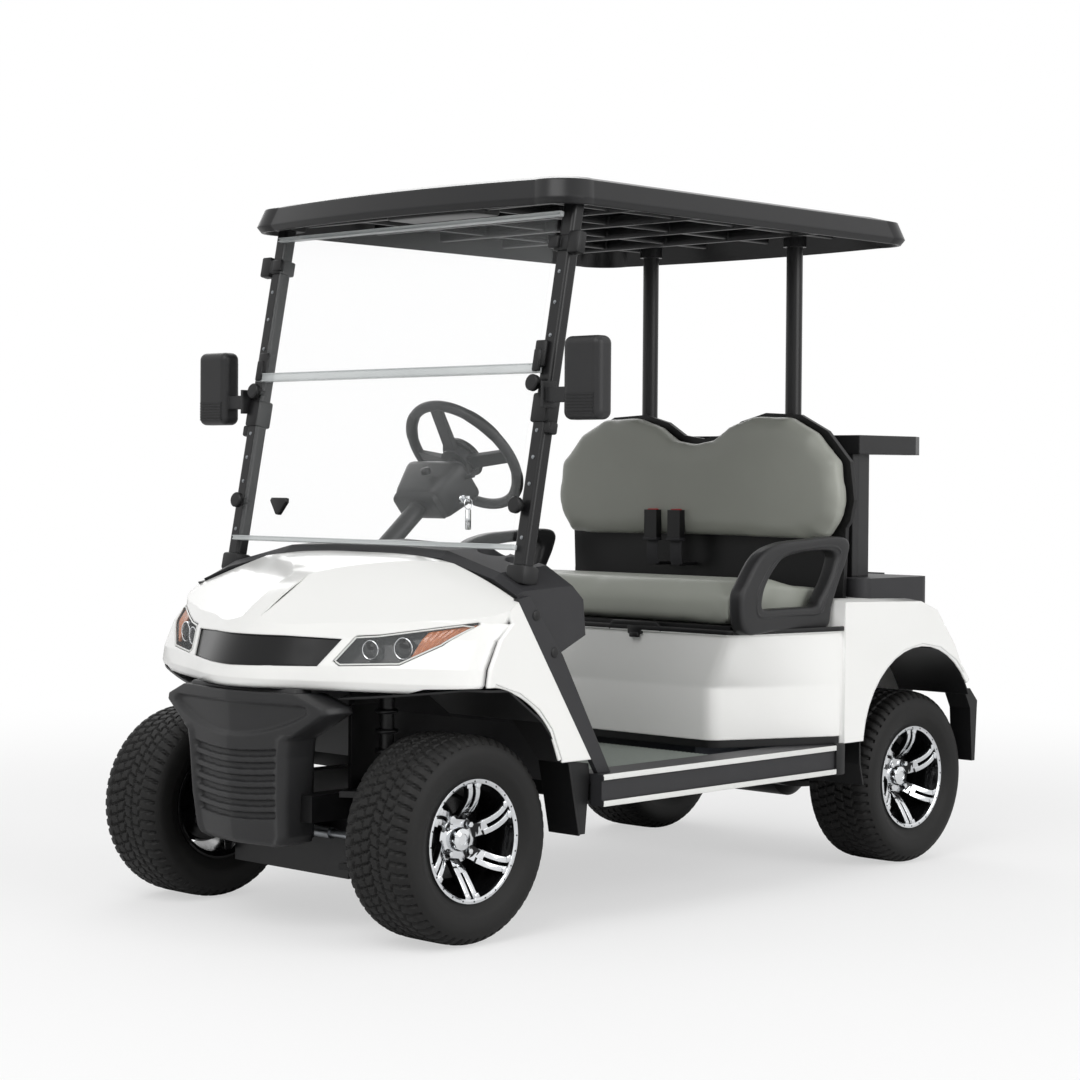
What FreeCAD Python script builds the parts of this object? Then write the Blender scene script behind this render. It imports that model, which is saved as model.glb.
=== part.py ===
import FreeCAD, Part
import math
import os
import re
from types import SimpleNamespace

import Sketcher
from FreeCAD import Placement, Rotation, Vector

# A two-seat electric golf cart, in millimetres.
# The front is towards -Y, +X is the cart's own left side and +Z is up.
# The origin lies on the ground, midway between the axles.

SIZES = [
    ("wheelbase", 1650, "front axle to rear axle"),
    ("tyre_radius", 230, "tread radius"),
    ("tyre_width", 205, "over the sidewalls"),
    ("tyre_outer", 535, "cart's middle plane to the tyre's outer side"),
    ("shoulder_drop", 9, "tread radius lost at the shoulder"),
    ("bead_radius", 127, "seat of the tyre on the rim"),
    ("rim_lip", 136, "radius of the rim's edge"),
    ("rim_half", 88, "half of the rim's width"),
    ("rim_wall", 6, "wall of the rim's barrel"),
    ("face_inset", 14, "rim's edge to the spokes' face"),
    ("face_dish", 10, "fall of the spokes' face towards the hub"),
    ("spoke_thick", 20, "spokes, front to back"),
    ("spoke_count", 6, "pairs of spokes"),
    ("window_inner", 60, "radius where a wheel window starts"),
    ("window_outer", 116, "radius where a wheel window ends"),
    ("window_angle", 15, "half of a window's angle at its outer end"),
    ("slot_inner", 68, "radius where the slot in a spoke starts"),
    ("slot_width", 7, "slot that splits a spoke"),
    ("hub_radius", 56, "hub and brake drum behind the spokes"),
    ("hub_depth", 40, "drum's length behind the spokes"),
    ("cap_radius", 27, "hub cap"),
    ("cap_height", 10, "hub cap over the spokes' face"),
    ("nut_circle", 42, "radius of the wheel nuts' circle"),
    ("nut_radius", 8, "wheel nut"),
    ("nut_height", 9, "wheel nut over its face"),
    ("nut_count", 4, "wheel nuts"),
    ("shaft_radius", 18, "stub axle in the wheel"),
    ("shaft_reach", 470, "middle plane to the stub axle's end"),
    ("running_gap", 0.4, "clearance round shafts and pins"),
    ("seat_gap", 0.3, "clearance where a piece rests on another"),
    ("kingpin_place", 316, "middle plane to the kingpin"),
    ("kingpin_radius", 9, "kingpin"),
    ("upright_width", 34, "knuckle's upright, across the cart"),
    ("upright_depth", 44, "knuckle's upright, along the cart"),
    ("lower_joint", 150, "height of the lower arm's eye"),
    ("upper_joint", 312, "height of the upper arm's eye"),
    ("arm_thick", 14, "suspension arm"),
    ("arm_eye", 20, "radius of a suspension arm's eye"),
    ("arm_spread", 100, "axle line to a suspension arm's pivot"),
    ("arm_band", 20, "width of a suspension arm's legs"),
    ("steer_arm", 104, "kingpin to the tie rod's joint, along the cart"),
    ("steer_inset", 14, "tie rod's joint inboard of the kingpin"),
    ("steer_height", 196, "underside of the steering arm"),
    ("steer_thick", 12, "steering arm"),
    ("tie_gap", 6, "gap under the tie rod's open end"),
    ("tie_radius", 8, "tie rod"),
    ("rack_radius", 13, "steering rack"),
    ("rack_half", 170, "half of the steering rack's bar"),
    ("rack_case", 22, "radius of the rack's housing"),
    ("rack_case_half", 95, "half of the rack's housing"),
    ("rail_inner", 150, "middle plane to a frame rail"),
    ("rail_width", 50, "frame rail"),
    ("rail_height", 60, "frame rail"),
    ("rail_top", 315, "top of the frame rails under the floor"),
    ("rail_front", -1015, "front end of the frame rails"),
    ("rail_rear", 1040, "rear end of the frame rails"),
    ("kick_height", 75, "rise of the rails over the rear axle"),
    ("kick_start", 575, "where the rails start to rise"),
    ("kick_end", 690, "where the rails are level again"),
    ("cross_height", 40, "cross tubes of the frame"),
    ("cross_depth", 50, "cross tubes of the frame"),
    ("front_block_half", 80, "half of the front cross member's depth"),
    ("front_block_low", 118, "underside of the front cross member"),
    ("tower_thick", 10, "plate of the shock towers"),
    ("tower_half", 45, "half of a shock tower's depth"),
    ("tower_top", 540, "top of the front shock towers"),
    ("rear_tower_top", 486, "top of the rear shock towers"),
    ("shock_place", 238, "middle plane to a front shock absorber"),
    ("shock_radius", 17, "shock absorber's body"),
    ("coil_radius", 30, "shock absorber's spring"),
    ("coil_wire", 9, "wire of the spring"),
    ("coil_count", 7, "turns of the spring"),
    ("axle_radius", 36, "rear axle tube"),
    ("motor_radius", 88, "motor and gear case on the rear axle"),
    ("motor_half", 118, "half of the motor and gear case"),
    ("axle_half", 372, "middle plane to the rear axle tube's end"),
    ("leaf_thick", 16, "leaf spring"),
    ("leaf_sag", 46, "leaf spring's fall between its eyes"),
    ("leaf_reach", 238, "axle to a leaf spring's eye"),
    ("battery_half", 330, "half of the battery pack's width"),
    ("battery_front", 150, "front of the battery pack"),
    ("battery_rear", 535, "rear of the battery pack"),
    ("battery_height", 245, "battery pack"),
    ("floor_thick", 20, "floor panel"),
    ("floor_half", 478, "half of the floor's width"),
    ("floor_front", -430, "where the toe board starts"),
    ("floor_rear", 98, "floor's rear edge"),
    ("toe_rise", 150, "height of the toe board's lower slope"),
    ("toe_run", 120, "length of the toe board's lower slope"),
    ("toe_top", 640.8, "top of the toe board"),
    ("sill_outer", 588, "middle plane to the sill's face"),
    ("sill_front", -481, "sill's front end"),
    ("sill_rear", 430, "sill's rear end"),
    ("sill_top", 352, "top of the sill"),
    ("sill_low", 280, "underside of the sill"),
    ("sill_bead", 6, "raised bands along the sill's edges"),
    ("sill_hollow", 34, "sill's thickness behind its bands"),
    ("bead_height", 12, "raised bands along the sill's edges"),
    ("body_wall", 4, "body mouldings"),
    ("liner_wall", 5, "wheel liners"),
    ("flap_inner", 484, "inner edge of the front mud flaps"),
    ("flap_outer", 548, "outer edge of the front mud flaps"),
    ("front_half", 560, "half width of the front body"),
    ("strip_width", 14, "dash moulding's strip behind the front body"),
    ("front_reach", 1094, "front body's foremost point"),
    ("bow", 230, "fall back of the nose towards its sides"),
    ("bow_power", 1.22, "shape of the nose's bow"),
    ("corner_wrap", 45, "extra fall back at the nose's corners"),
    ("hood_rear", 690, "hood's rear edge, ahead of the origin"),
    ("hood_sweep", 46, "rear edge's sweep towards the sides"),
    ("hood_height", 846, "hood's rear edge in the middle"),
    ("hood_crown", 90, "hood's fall from the middle to the side"),
    ("hood_bulge", 25, "hood's rise over its chord"),
    ("brow_run", 74, "nose's foremost point back to the brow"),
    ("brow_height", 712, "height of the brow crease"),
    ("lamp_top_run", 36, "nose's foremost point back to the lamps' top"),
    ("lamp_top", 668, "height of the lamp band's top edge"),
    ("lamp_low_run", 6, "nose's foremost point back to the lamps' foot"),
    ("lamp_low", 606, "height of the lamp band's lower edge"),
    ("lip_height", 572, "height of the foremost point"),
    ("leg_rear", -493, "front body's leg, rear corner"),
    ("leg_low", 386, "front body's leg, lower end"),
    ("lip_low", 546, "underside of the lip over the bumper"),
    ("lip_half", 205, "half width of the lip's straight edge"),
    ("lip_tip", 286, "middle plane to the lip's outer tip"),
    ("lip_tip_low", 506, "height of the lip's outer tip"),
    ("front_arch_top", 574, "top of the front wheel arch"),
    ("front_arch_rear", -589, "front wheel arch, rear end"),
    ("rear_half", 572, "half width over the rear fenders"),
    ("box_half_low", 415, "seat box, half width at the floor"),
    ("box_half_top", 500, "seat box, half width at the seat"),
    ("box_front_low", 105, "seat box's front face at the floor"),
    ("box_front_top", 86, "seat box's front face at the seat"),
    ("box_crease", 500, "height where the seat box starts to lean"),
    ("box_top", 640, "top of the seat box"),
    ("box_rear", 470, "where the seat box meets the rear fenders"),
    ("box_side", 425, "where the seat box reaches its full width"),
    ("fender_top", 726, "top of the rear fenders"),
    ("fender_reach", 1066, "rear body's rear face"),
    ("rear_arch_radius", 262, "rear wheel arch"),
    ("rear_arch_rise", 100, "rear arch's centre over the axle"),
    ("well_half", 310, "half width of the bag well"),
    ("well_front", 700, "bag well's front wall"),
    ("well_rear", 1000, "bag well's rear wall"),
    ("well_low", 500, "bag well's floor"),
    ("deck_half", 520, "half width of the rear deck"),
    ("deck_front", 592, "rear deck's front edge"),
    ("deck_rear", 905, "rear deck's rear edge"),
    ("deck_top", 766, "rear deck's top"),
    ("cushion_half", 490, "half width of the seat cushion"),
    ("cushion_front", 92, "seat cushion's front"),
    ("cushion_rear", 488, "seat cushion's rear"),
    ("cushion_low", 660, "underside of the seat cushion"),
    ("cushion_top", 768, "top of the seat cushion"),
    ("pan_thick", 14, "board under the seat cushion"),
    ("back_half", 503, "half width of the backrest"),
    ("back_front", 508, "backrest's front face"),
    ("back_thick", 62, "backrest cushion"),
    ("back_low", 862, "backrest's lower edge"),
    ("back_top", 1196, "top of the backrest's humps"),
    ("back_dip", 1128, "backrest's dip between the humps"),
    ("shell_thick", 14, "backrest's shell"),
    ("shell_low", 690, "lower edge of the backrest's shell"),
    ("recess_half", 504, "half width of the seat's recess in the rear body"),
    ("recess_rear", 590, "rear of the seat's recess"),
    ("skirt_low", 456, "rear body's lower edge behind the wheels"),
    ("post_place", 255, "middle plane to a rear post"),
    ("post_back", 637, "rear post, behind the origin"),
    ("post_radius", 22, "rear post"),
    ("pillar_place", 500, "middle plane to a windscreen pillar"),
    ("pillar_foot", -664, "windscreen pillar at its foot"),
    ("pillar_low", 790, "height of the windscreen pillar's foot"),
    ("pillar_lean", 0.194, "windscreen pillar's run for each unit of rise"),
    ("pillar_width", 40, "windscreen pillar, across"),
    ("pillar_depth", 36, "windscreen pillar, along"),
    ("glass_thick", 5, "windscreen"),
    ("glass_half", 476, "half width of the windscreen"),
    ("glass_low", 874.5, "windscreen's lower edge"),
    ("glass_middle", 1270, "rail between the two panes"),
    ("glass_top", 1616, "windscreen's upper edge"),
    ("glass_rail", 22, "rail between the two panes"),
    ("roof_half", 556, "half width of the roof"),
    ("roof_front", -630, "roof's front edge"),
    ("roof_rear", 805, "roof's rear edge"),
    ("roof_low", 1640, "roof's lower lip"),
    ("roof_side", 58, "height of the roof's side"),
    ("roof_rise", 20, "crown of the roof over its side"),
    ("roof_corner", 95, "roof's corner radius"),
    ("roof_wall", 6, "roof moulding"),
    ("mirror_place", 642, "middle plane to a mirror's middle"),
    ("mirror_back", -604, "mirror's middle"),
    ("mirror_half", 55, "half of the mirror's width"),
    ("mirror_depth", 54, "mirror's housing, front to back"),
    ("mirror_low", 1152, "mirror's lower edge"),
    ("mirror_top", 1337, "mirror's upper edge"),
    ("wheel_place", -250, "steering wheel's middle, across"),
    ("wheel_back", -105, "steering wheel's middle, along"),
    ("wheel_high", 1080, "steering wheel's middle, height"),
    ("wheel_tilt", 40, "column's angle over the floor"),
    ("wheel_radius", 165, "steering wheel, to the middle of its rim"),
    ("wheel_grip", 14, "radius of the steering wheel's rim"),
    ("column_radius", 24, "steering column's jacket"),
    ("column_length", 490, "steering column's jacket"),
    ("arm_rest_inner", 496, "middle plane to an armrest"),
    ("arm_rest_width", 44, "armrest"),
    ("holder_low", 1092, "bag holder's underside"),
    ("holder_top", 1142, "bag holder's top"),
    ("holder_half", 452, "half width of the bag holder"),
    ("holder_front", 668, "bag holder's front"),
    ("holder_rear", 985, "bag holder's rear"),
    ("bag_radius", 150, "bay for a golf bag"),
    ("bag_place", 205, "middle plane to a bag bay"),
    ("cup_radius", 38, "cup holder"),
    ("cup_depth", 65, "cup holder"),
]

doc = FreeCAD.newDocument("golf_cart")
sheet = doc.addObject("Spreadsheet::Sheet", "sizes")
for row, (alias, value, meaning) in enumerate(SIZES, start=1):
    sheet.set(f"A{row}", meaning)
    sheet.set(f"B{row}", str(value))
    sheet.setAlias(f"B{row}", alias)
workings = doc.addObject("Spreadsheet::Sheet", "workings")
doc.recompute()
d = SimpleNamespace(**{alias: float(sheet.get(alias)) for alias, _, _ in SIZES})
ALIASES = set(vars(d))

FRONT_AXLE = -d.wheelbase / 2
REAR_AXLE = d.wheelbase / 2
LONG = 3000


def bound(text):
    """Turn a formula of size names into one that reads the sheet."""
    def swap(word):
        return "sizes." + word.group() if word.group() in ALIASES else word.group()
    return re.sub(r"[a-z][a-z_]*", swap, str(text))


def drive(thing, prop, text):
    thing.setExpression(prop, bound(text))


def put(thing, x="0", y="0", z="0"):
    """Place an object by three formulas."""
    for axis, text in zip("xyz", (x, y, z)):
        drive(thing, "Placement.Base." + axis, text)
    return thing


def box(name, corner, extent):
    """A block from the formulas of its lowest corner and its three extents."""
    block = doc.addObject("Part::Box", name)
    for prop, text in zip(("Length", "Width", "Height"), extent):
        drive(block, prop, text)
    return put(block, *corner)


def rod(name, foot, radius, length, turn=Rotation()):
    """A round bar that runs along Z before it is turned."""
    bar = doc.addObject("Part::Cylinder", name)
    drive(bar, "Radius", radius)
    drive(bar, "Height", length)
    bar.Placement = Placement(Vector(), turn)
    return put(bar, *foot)


ALONG_X = Rotation(Vector(0, 1, 0), 90)
ALONG_Y = Rotation(Vector(1, 0, 0), -90)


def plane_of(body, role):
    return [item for item in body.Origin.OriginFeatures if item.Role == role][0]


def outline(body, plane, corners, offset="0"):
    """A closed sketch whose corners are each held by two bound distances."""
    sketch = body.newObject("Sketcher::SketchObject", body.Name + "_outline")
    sketch.AttachmentSupport = [(plane_of(body, plane), "")]
    sketch.MapMode = "FlatFace"
    drive(sketch, "AttachmentOffset.Base.z", offset)
    count = len(corners)
    values = [[evaluate(text) for text in corner] for corner in corners]
    points = [Vector(across, up, 0) for across, up in values]
    for index in range(count):
        edge = Part.LineSegment(points[index], points[(index + 1) % count])
        sketch.addGeometry(edge, False)
    for index in range(count):
        following = (index + 1) % count
        sketch.addConstraint(Sketcher.Constraint("Coincident", index, 2, following, 1))
    for index, corner in enumerate(corners):
        for kind, text, number in zip(("DistanceX", "DistanceY"), corner, values[index]):
            place = sketch.addConstraint(Sketcher.Constraint(kind, -1, 1, index, 1, number))
            drive(sketch, f"Constraints[{place}]", text)
    return sketch


def evaluate(text):
    """The present value of a formula of size names."""
    workings.set("A1", "=" + bound(text))
    workings.recompute()
    return float(workings.get("A1"))


def prism(name, plane, start, depth, corners, radius=None):
    """A padded outline. It starts at the plane's own offset and grows by the depth."""
    body = doc.addObject("PartDesign::Body", name)
    backwards = plane == "XZ_Plane"
    sketch = outline(body, plane, corners, f"-({start})" if backwards else start)
    pad = body.newObject("PartDesign::Pad", name + "_pad")
    pad.Profile = sketch
    pad.Reversed = backwards
    drive(pad, "Length", depth)
    doc.recompute()
    if radius is not None:
        round_edges(body, pad, radius, {"YZ_Plane": 0, "XZ_Plane": 1, "XY_Plane": 2}[plane])
    return body


def round_edges(body, feature, radius, axis, pick=lambda edge: True):
    """Fillet the straight edges of a feature that run along one axis."""
    chosen = []
    for number, edge in enumerate(feature.Shape.Edges, start=1):
        if edge.Curve.TypeId != "Part::GeomLine" or not pick(edge):
            continue
        if abs(abs(edge.Curve.Direction[axis]) - 1) < 1e-6:
            chosen.append(f"Edge{number}")
    fillet = body.newObject("PartDesign::Fillet", body.Name + "_fillet")
    fillet.Base = (feature, chosen)
    drive(fillet, "Radius", radius)
    body.Tip = fillet
    doc.recompute()
    return fillet


def turned(name, corners):
    """A body of revolution round X from an outline of (along X, radius)."""
    body = doc.addObject("PartDesign::Body", name)
    sketch = outline(body, "XY_Plane", corners)
    spin = body.newObject("PartDesign::Revolution", name + "_spin")
    spin.Profile = sketch
    spin.ReferenceAxis = (sketch, ["H_Axis"])
    spin.Angle = 360
    doc.recompute()
    return body


def feature(name, shape):
    thing = doc.addObject("Part::Feature", name)
    thing.Shape = shape
    return thing


def mirrored(name, source):
    twin = doc.addObject("Part::Mirroring", name)
    twin.Source = source
    twin.Normal = Vector(1, 0, 0)
    return twin


def joined(name, parts):
    whole = doc.addObject("Part::MultiFuse", name)
    whole.Shapes = parts
    return whole


def cut_from(name, base, tool):
    rest = doc.addObject("Part::Cut", name)
    rest.Base = base
    rest.Tool = tool
    return rest


def group(name, parts):
    """Like pieces that share a node and don't touch."""
    bundle = doc.addObject("Part::Compound", name)
    bundle.Links = parts
    return bundle


def pair(name, left):
    """A piece of the left side and its twin on the right."""
    return group(name, [left, mirrored(name + "_twin", left)])


def node(thing, label):
    thing.Label = label
    NODES.append(label)
    return thing


NODES = []


def polygon(points):
    return Part.makePolygon([Vector(*point) for point in points] + [Vector(*points[0])])


def slab(points, run):
    """A solid from a flat polygon and the vector it is swept along."""
    return Part.Face(polygon(points)).extrude(Vector(*run))


def both_sides(shape):
    return [shape, shape.mirror(Vector(), Vector(1, 0, 0))]


def side_slab(x_from, x_to, points):
    """A solid with a side view of (y, z) points, between two places across the cart."""
    return slab([(x_from, y, z) for y, z in points], (x_to - x_from, 0, 0))


def front_slab(y_from, y_to, points):
    """A solid with a front view of (x, z) points, between two places along the cart."""
    return slab([(x, y_from, z) for x, z in points], (0, y_to - y_from, 0))


def plan_slab(z_from, z_to, points):
    """A solid with a plan of (x, y) points, between two heights."""
    return slab([(x, y, z_from) for x, y in points], (0, 0, z_to - z_from))


def tyre(label, side, along):
    """A tyre with a crowned tread, rounded shoulders and bulging sidewalls."""
    half = "tyre_width / 2"
    right = [
        ("rim_half - 8", "bead_radius + seat_gap"),
        ("rim_half - 4", "rim_lip + 4"),
        (half + " - 3", "bead_radius + 40"),
        (half, "bead_radius + 62"),
        (half + " - 6", "tyre_radius - shoulder_drop - 14"),
        (half + " - 22", "tyre_radius - shoulder_drop + 5"),
        (half + " - 52", "tyre_radius"),
    ]
    left = [(f"-({across})", radius) for across, radius in reversed(right)]
    body = turned(label + "_body", right + left)
    put(body, f"{side} * (tyre_outer - tyre_width / 2)", f"{along} * wheelbase / 2", "tyre_radius")
    return node(body, label)


def rim(label, side, along):
    """An alloy rim: barrel, dished face with split spokes, hub, cap and nuts."""
    face = "rim_half - face_inset"
    centre = f"{face} - face_dish"
    back = f"{centre} - spoke_thick"
    body = turned(label + "_body", [
        ("-rim_half", "rim_lip - 2"),
        ("-(rim_half - 4)", "rim_lip - 2"),
        ("-(rim_half - 8)", "bead_radius"),
        ("rim_half - 8", "bead_radius"),
        ("rim_half - 4", "rim_lip"),
        ("rim_half", "rim_lip"),
        ("rim_half", "rim_lip - 5"),
        (face, "window_outer + 1"),
        (centre, "hub_radius"),
        (centre, "cap_radius"),
        (f"{centre} + cap_height", "cap_radius - 3"),
        (f"{centre} + cap_height", "0"),
        (f"{centre}", "0"),
        (f"{centre}", "shaft_radius + running_gap"),
        (f"{back} - hub_depth", "shaft_radius + running_gap"),
        (f"{back} - hub_depth", "hub_radius"),
        (back, "hub_radius"),
        (f"{face} - spoke_thick", "bead_radius - rim_wall"),
        ("-(rim_half - 12)", "bead_radius - rim_wall"),
        ("-rim_half", "rim_lip - 7"),
    ])
    spin = body.Tip
    tan = "tan(window_angle * 1 deg)"
    window = pocket_through(body, "window", [
        ("window_inner", "-3"),
        ("window_outer", f"-window_outer * {tan}"),
        ("window_outer + 3", "0"),
        ("window_outer", f"window_outer * {tan}"),
        ("window_inner", "3"),
    ], "0")
    slot = pocket_through(body, "slot", [
        ("slot_inner", "-slot_width / 4"),
        ("window_outer - 4", "-slot_width / 2"),
        ("window_outer - 4", "slot_width / 2"),
        ("slot_inner", "slot_width / 4"),
    ], "180 / spoke_count")
    repeat_round(body, [window, slot], "spoke_count")
    nut = body.newObject("Sketcher::SketchObject", label + "_nut")
    nut.AttachmentSupport = [(plane_of(body, "YZ_Plane"), "")]
    nut.MapMode = "FlatFace"
    drive(nut, "AttachmentOffset.Base.z", centre)
    nut.addGeometry(Part.Circle(Vector(d.nut_circle, 0, 0), Vector(0, 0, 1), d.nut_radius))
    nut.addConstraint(Sketcher.Constraint("Radius", 0, d.nut_radius))
    drive(nut, "Constraints[0]", "nut_radius")
    nut.addConstraint(Sketcher.Constraint("DistanceX", -1, 1, 0, 3, d.nut_circle))
    drive(nut, "Constraints[1]", "nut_circle")
    nut.addConstraint(Sketcher.Constraint("PointOnObject", 0, 3, -1))
    stud = body.newObject("PartDesign::Pad", label + "_stud")
    stud.Profile = nut
    drive(stud, "Length", "nut_height")
    doc.recompute()
    repeat_round(body, [stud], "nut_count")
    if side < 0:
        body.Placement = Placement(Vector(), Rotation(Vector(0, 0, 1), 180))
    put(body, f"{side} * (tyre_outer - tyre_width / 2)", f"{along} * wheelbase / 2", "tyre_radius")
    return node(body, label)


def pocket_through(body, name, corners, turn):
    """Cut an outline of (radius, across) right through a wheel, turned by an angle."""
    sketch = outline(body, "YZ_Plane", corners)
    sketch.AttachmentOffset = Placement(Vector(), Rotation(Vector(0, 0, 1), evaluate(turn)))
    drive(sketch, "AttachmentOffset.Rotation.Angle", turn)
    cut = body.newObject("PartDesign::Pocket", body.Name + "_" + name)
    cut.Profile = sketch
    cut.Type = "ThroughAll"
    cut.Midplane = True
    doc.recompute()
    return cut


def repeat_round(body, originals, count):
    """Repeat features round the body's X axis."""
    pattern = body.newObject("PartDesign::PolarPattern", originals[0].Name + "_round")
    pattern.Originals = originals
    pattern.Axis = (plane_of(body, "X_Axis"), [""])
    pattern.Angle = 360
    drive(pattern, "Occurrences", count)
    body.Tip = pattern
    doc.recompute()


def knuckle(label, side):
    """A front knuckle: upright on its kingpin, stub axle and steering arm."""
    pin = "kingpin_place"
    front = "-wheelbase / 2"
    low = "lower_joint + arm_thick / 2 + running_gap"
    rise = "upper_joint - lower_joint - arm_thick - 2 * running_gap"
    upright = box(label + "_upright", (f"{pin} - upright_width / 2", f"{front} - upright_depth / 2", low),
                  ("upright_width", "upright_depth", rise))
    kingpin = rod(label + "_kingpin", (pin, front, "lower_joint - arm_thick"), "kingpin_radius",
                  "upper_joint - lower_joint + 2 * arm_thick")
    stub = rod(label + "_stub", (pin, front, "tyre_radius"), "shaft_radius",
               "shaft_reach - kingpin_place", ALONG_X)
    arm = prism(label + "_arm", "XY_Plane", "steer_height", "steer_thick", [
        (f"{pin} - upright_width / 2 + 4", front),
        (f"{pin} + upright_width / 2 - 4", front),
        (f"{pin} - steer_inset + 11", f"{front} - steer_arm + 6"),
        (f"{pin} - steer_inset + 7", f"{front} - steer_arm - 10"),
        (f"{pin} - steer_inset - 7", f"{front} - steer_arm - 10"),
        (f"{pin} - steer_inset - 11", f"{front} - steer_arm + 6"),
    ])
    whole = joined(label + "_whole", [upright, kingpin, stub, arm])
    if side < 0:
        whole = mirrored(label + "_other", whole)
    return node(whole, label)


def suspension_arm(name, height, root):
    """A wishbone of flat plate with an eye round the kingpin."""
    front = "-wheelbase / 2"
    blade = prism(name, "XY_Plane", f"{height} - arm_thick / 2", "arm_thick", [
        ("kingpin_place", f"{front} - arm_eye"),
        ("kingpin_place + 14", f"{front} - arm_eye + 8"),
        ("kingpin_place + 14", f"{front} + arm_eye - 8"),
        ("kingpin_place", f"{front} + arm_eye"),
        (root, f"{front} + arm_spread + arm_band / 2"),
        (root, f"{front} + arm_spread - arm_band / 2"),
        ("kingpin_place - arm_eye - 2", front),
        (root, f"{front} - arm_spread + arm_band / 2"),
        (root, f"{front} - arm_spread - arm_band / 2"),
    ])
    hole = rod(name + "_hole", ("kingpin_place", front, f"{height} - arm_thick"),
               "kingpin_radius + running_gap", "2 * arm_thick")
    return cut_from(name + "_eye", blade, hole)


def suspension_links():
    """The front wishbones and the rear leaf springs."""
    root = "rail_inner + rail_width + seat_gap"
    lower = suspension_arm("lower_arm", "lower_joint", root)
    upper = suspension_arm("upper_arm", "upper_joint", root)
    twins = [mirrored(arm.Name + "_twin", arm) for arm in (lower, upper)]
    node(group("link_set", [lower, upper] + twins + [leaf_springs()]), "suspension_links")


def steering_rack():
    """The rack's bar, with tie rods out to their joints over the steering arms."""
    line = "-wheelbase / 2 - steer_arm"
    height = "steer_height + steer_thick + tie_gap + tie_radius"
    joint = "kingpin_place - steer_inset"
    bar = rod("rack_bar", ("-rack_half", line, height), "rack_radius", "2 * rack_half", ALONG_X)
    tie = rod("tie_rods", (f"-({joint})", line, height), "tie_radius", f"2 * ({joint})", ALONG_X)
    ends = []
    for side, place in (("left", joint), ("right", f"-({joint})")):
        ends.append(rod("tie_end_" + side, (place, line, f"{height} - tie_radius"), "tie_radius + 3",
                        "2 * tie_radius + 3"))
    node(joined("rack_whole", [bar, tie] + ends), "steering_rack")


def rack_housing():
    """The tube round the rack, on two feet of the front cross member."""
    line = "-wheelbase / 2 - steer_arm"
    height = "steer_height + steer_thick + tie_gap + tie_radius"
    block = "-wheelbase / 2 - front_block_half"
    case = rod("case_tube", ("-rack_case_half", line, height), "rack_case", "2 * rack_case_half", ALONG_X)
    bore = rod("case_bore", ("-rack_case_half - 5", line, height), "rack_radius + running_gap",
               "2 * rack_case_half + 10", ALONG_X)
    feet = [box("case_foot_" + side, (place, f"{line} + rack_case - 8", f"{height} - 14"),
                ("26", f"{block} - ({line}) - rack_case + 8 - seat_gap", "28"))
            for side, place in (("left", "rack_case_half - 40"), ("right", "14 - rack_case_half"))]
    return cut_from("case_whole", joined("case_form", [case] + feet), bore)


def frame_rails():
    """The rails, each with the two plates that hold its shock absorbers' tops."""
    low = "rail_top - rail_height"
    rail = prism("rail", "YZ_Plane", "rail_inner", "rail_width", [
        ("rail_front", low),
        ("kick_start", low),
        ("kick_end", f"{low} + kick_height"),
        ("rail_rear", f"{low} + kick_height"),
        ("rail_rear", "rail_top + kick_height"),
        ("kick_end - 12", "rail_top + kick_height"),
        ("kick_start - 12", "rail_top"),
        ("rail_front", "rail_top"),
    ])
    front = tower("tower", "-wheelbase / 2", "rail_top", "tower_top")
    rear = tower("rear_tower", "wheelbase / 2", "rail_top + kick_height", "rear_tower_top")
    node(pair("rail_pair", joined("rail_whole", [rail, front, rear])), "frame_rails")


def frame_crossmembers():
    """The front cross member, the cross tubes and the outriggers."""
    parts = [box("front_block", ("-rail_inner - rail_width", "-wheelbase / 2 - front_block_half",
                                 "front_block_low"),
                 ("2 * (rail_inner + rail_width)", "2 * front_block_half",
                  "rail_top - rail_height - front_block_low"))]
    tube_low = "rail_top - rail_height / 2 - cross_height / 2"
    for number, (place, lift) in enumerate((("floor_front - 60", "0"), ("floor_rear", "0"),
                                            ("rail_rear - 90", "kick_height"))):
        parts.append(box(f"cross_tube_{'abc'[number]}", ("-rail_inner", place, f"{tube_low} + {lift}"),
                         ("2 * rail_inner", "cross_depth", "cross_height")))
    for number, place in enumerate(("floor_front + 30", "floor_rear - 70", "sill_rear - 90")):
        parts.append(box(f"outrigger_{'abc'[number]}", ("rail_inner + rail_width", place,
                                                        "rail_top - cross_height"),
                         ("sill_outer - sill_bead - sill_hollow - seat_gap - rail_inner - rail_width",
                          "cross_depth", "cross_height")))
        parts.append(mirrored(f"outrigger_twin_{'abc'[number]}", parts[-1]))
    node(group("cross_set", parts + [rack_housing()]), "frame_crossmembers")


def tower(name, along, foot, top):
    """A bent plate that stands on a rail and reaches out over a shock absorber."""
    inner = "rail_inner + 8"
    return prism(name, "XZ_Plane", f"{along} - tower_half", "2 * tower_half", [
        (inner, foot),
        (f"{inner} + tower_thick", foot),
        (f"{inner} + tower_thick", f"{top} - 34"),
        ("shock_place - coil_radius - 12", f"{top} - tower_thick"),
        ("shock_place + 30", f"{top} - tower_thick"),
        ("shock_place + 30", top),
        (inner, top),
    ])


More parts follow.
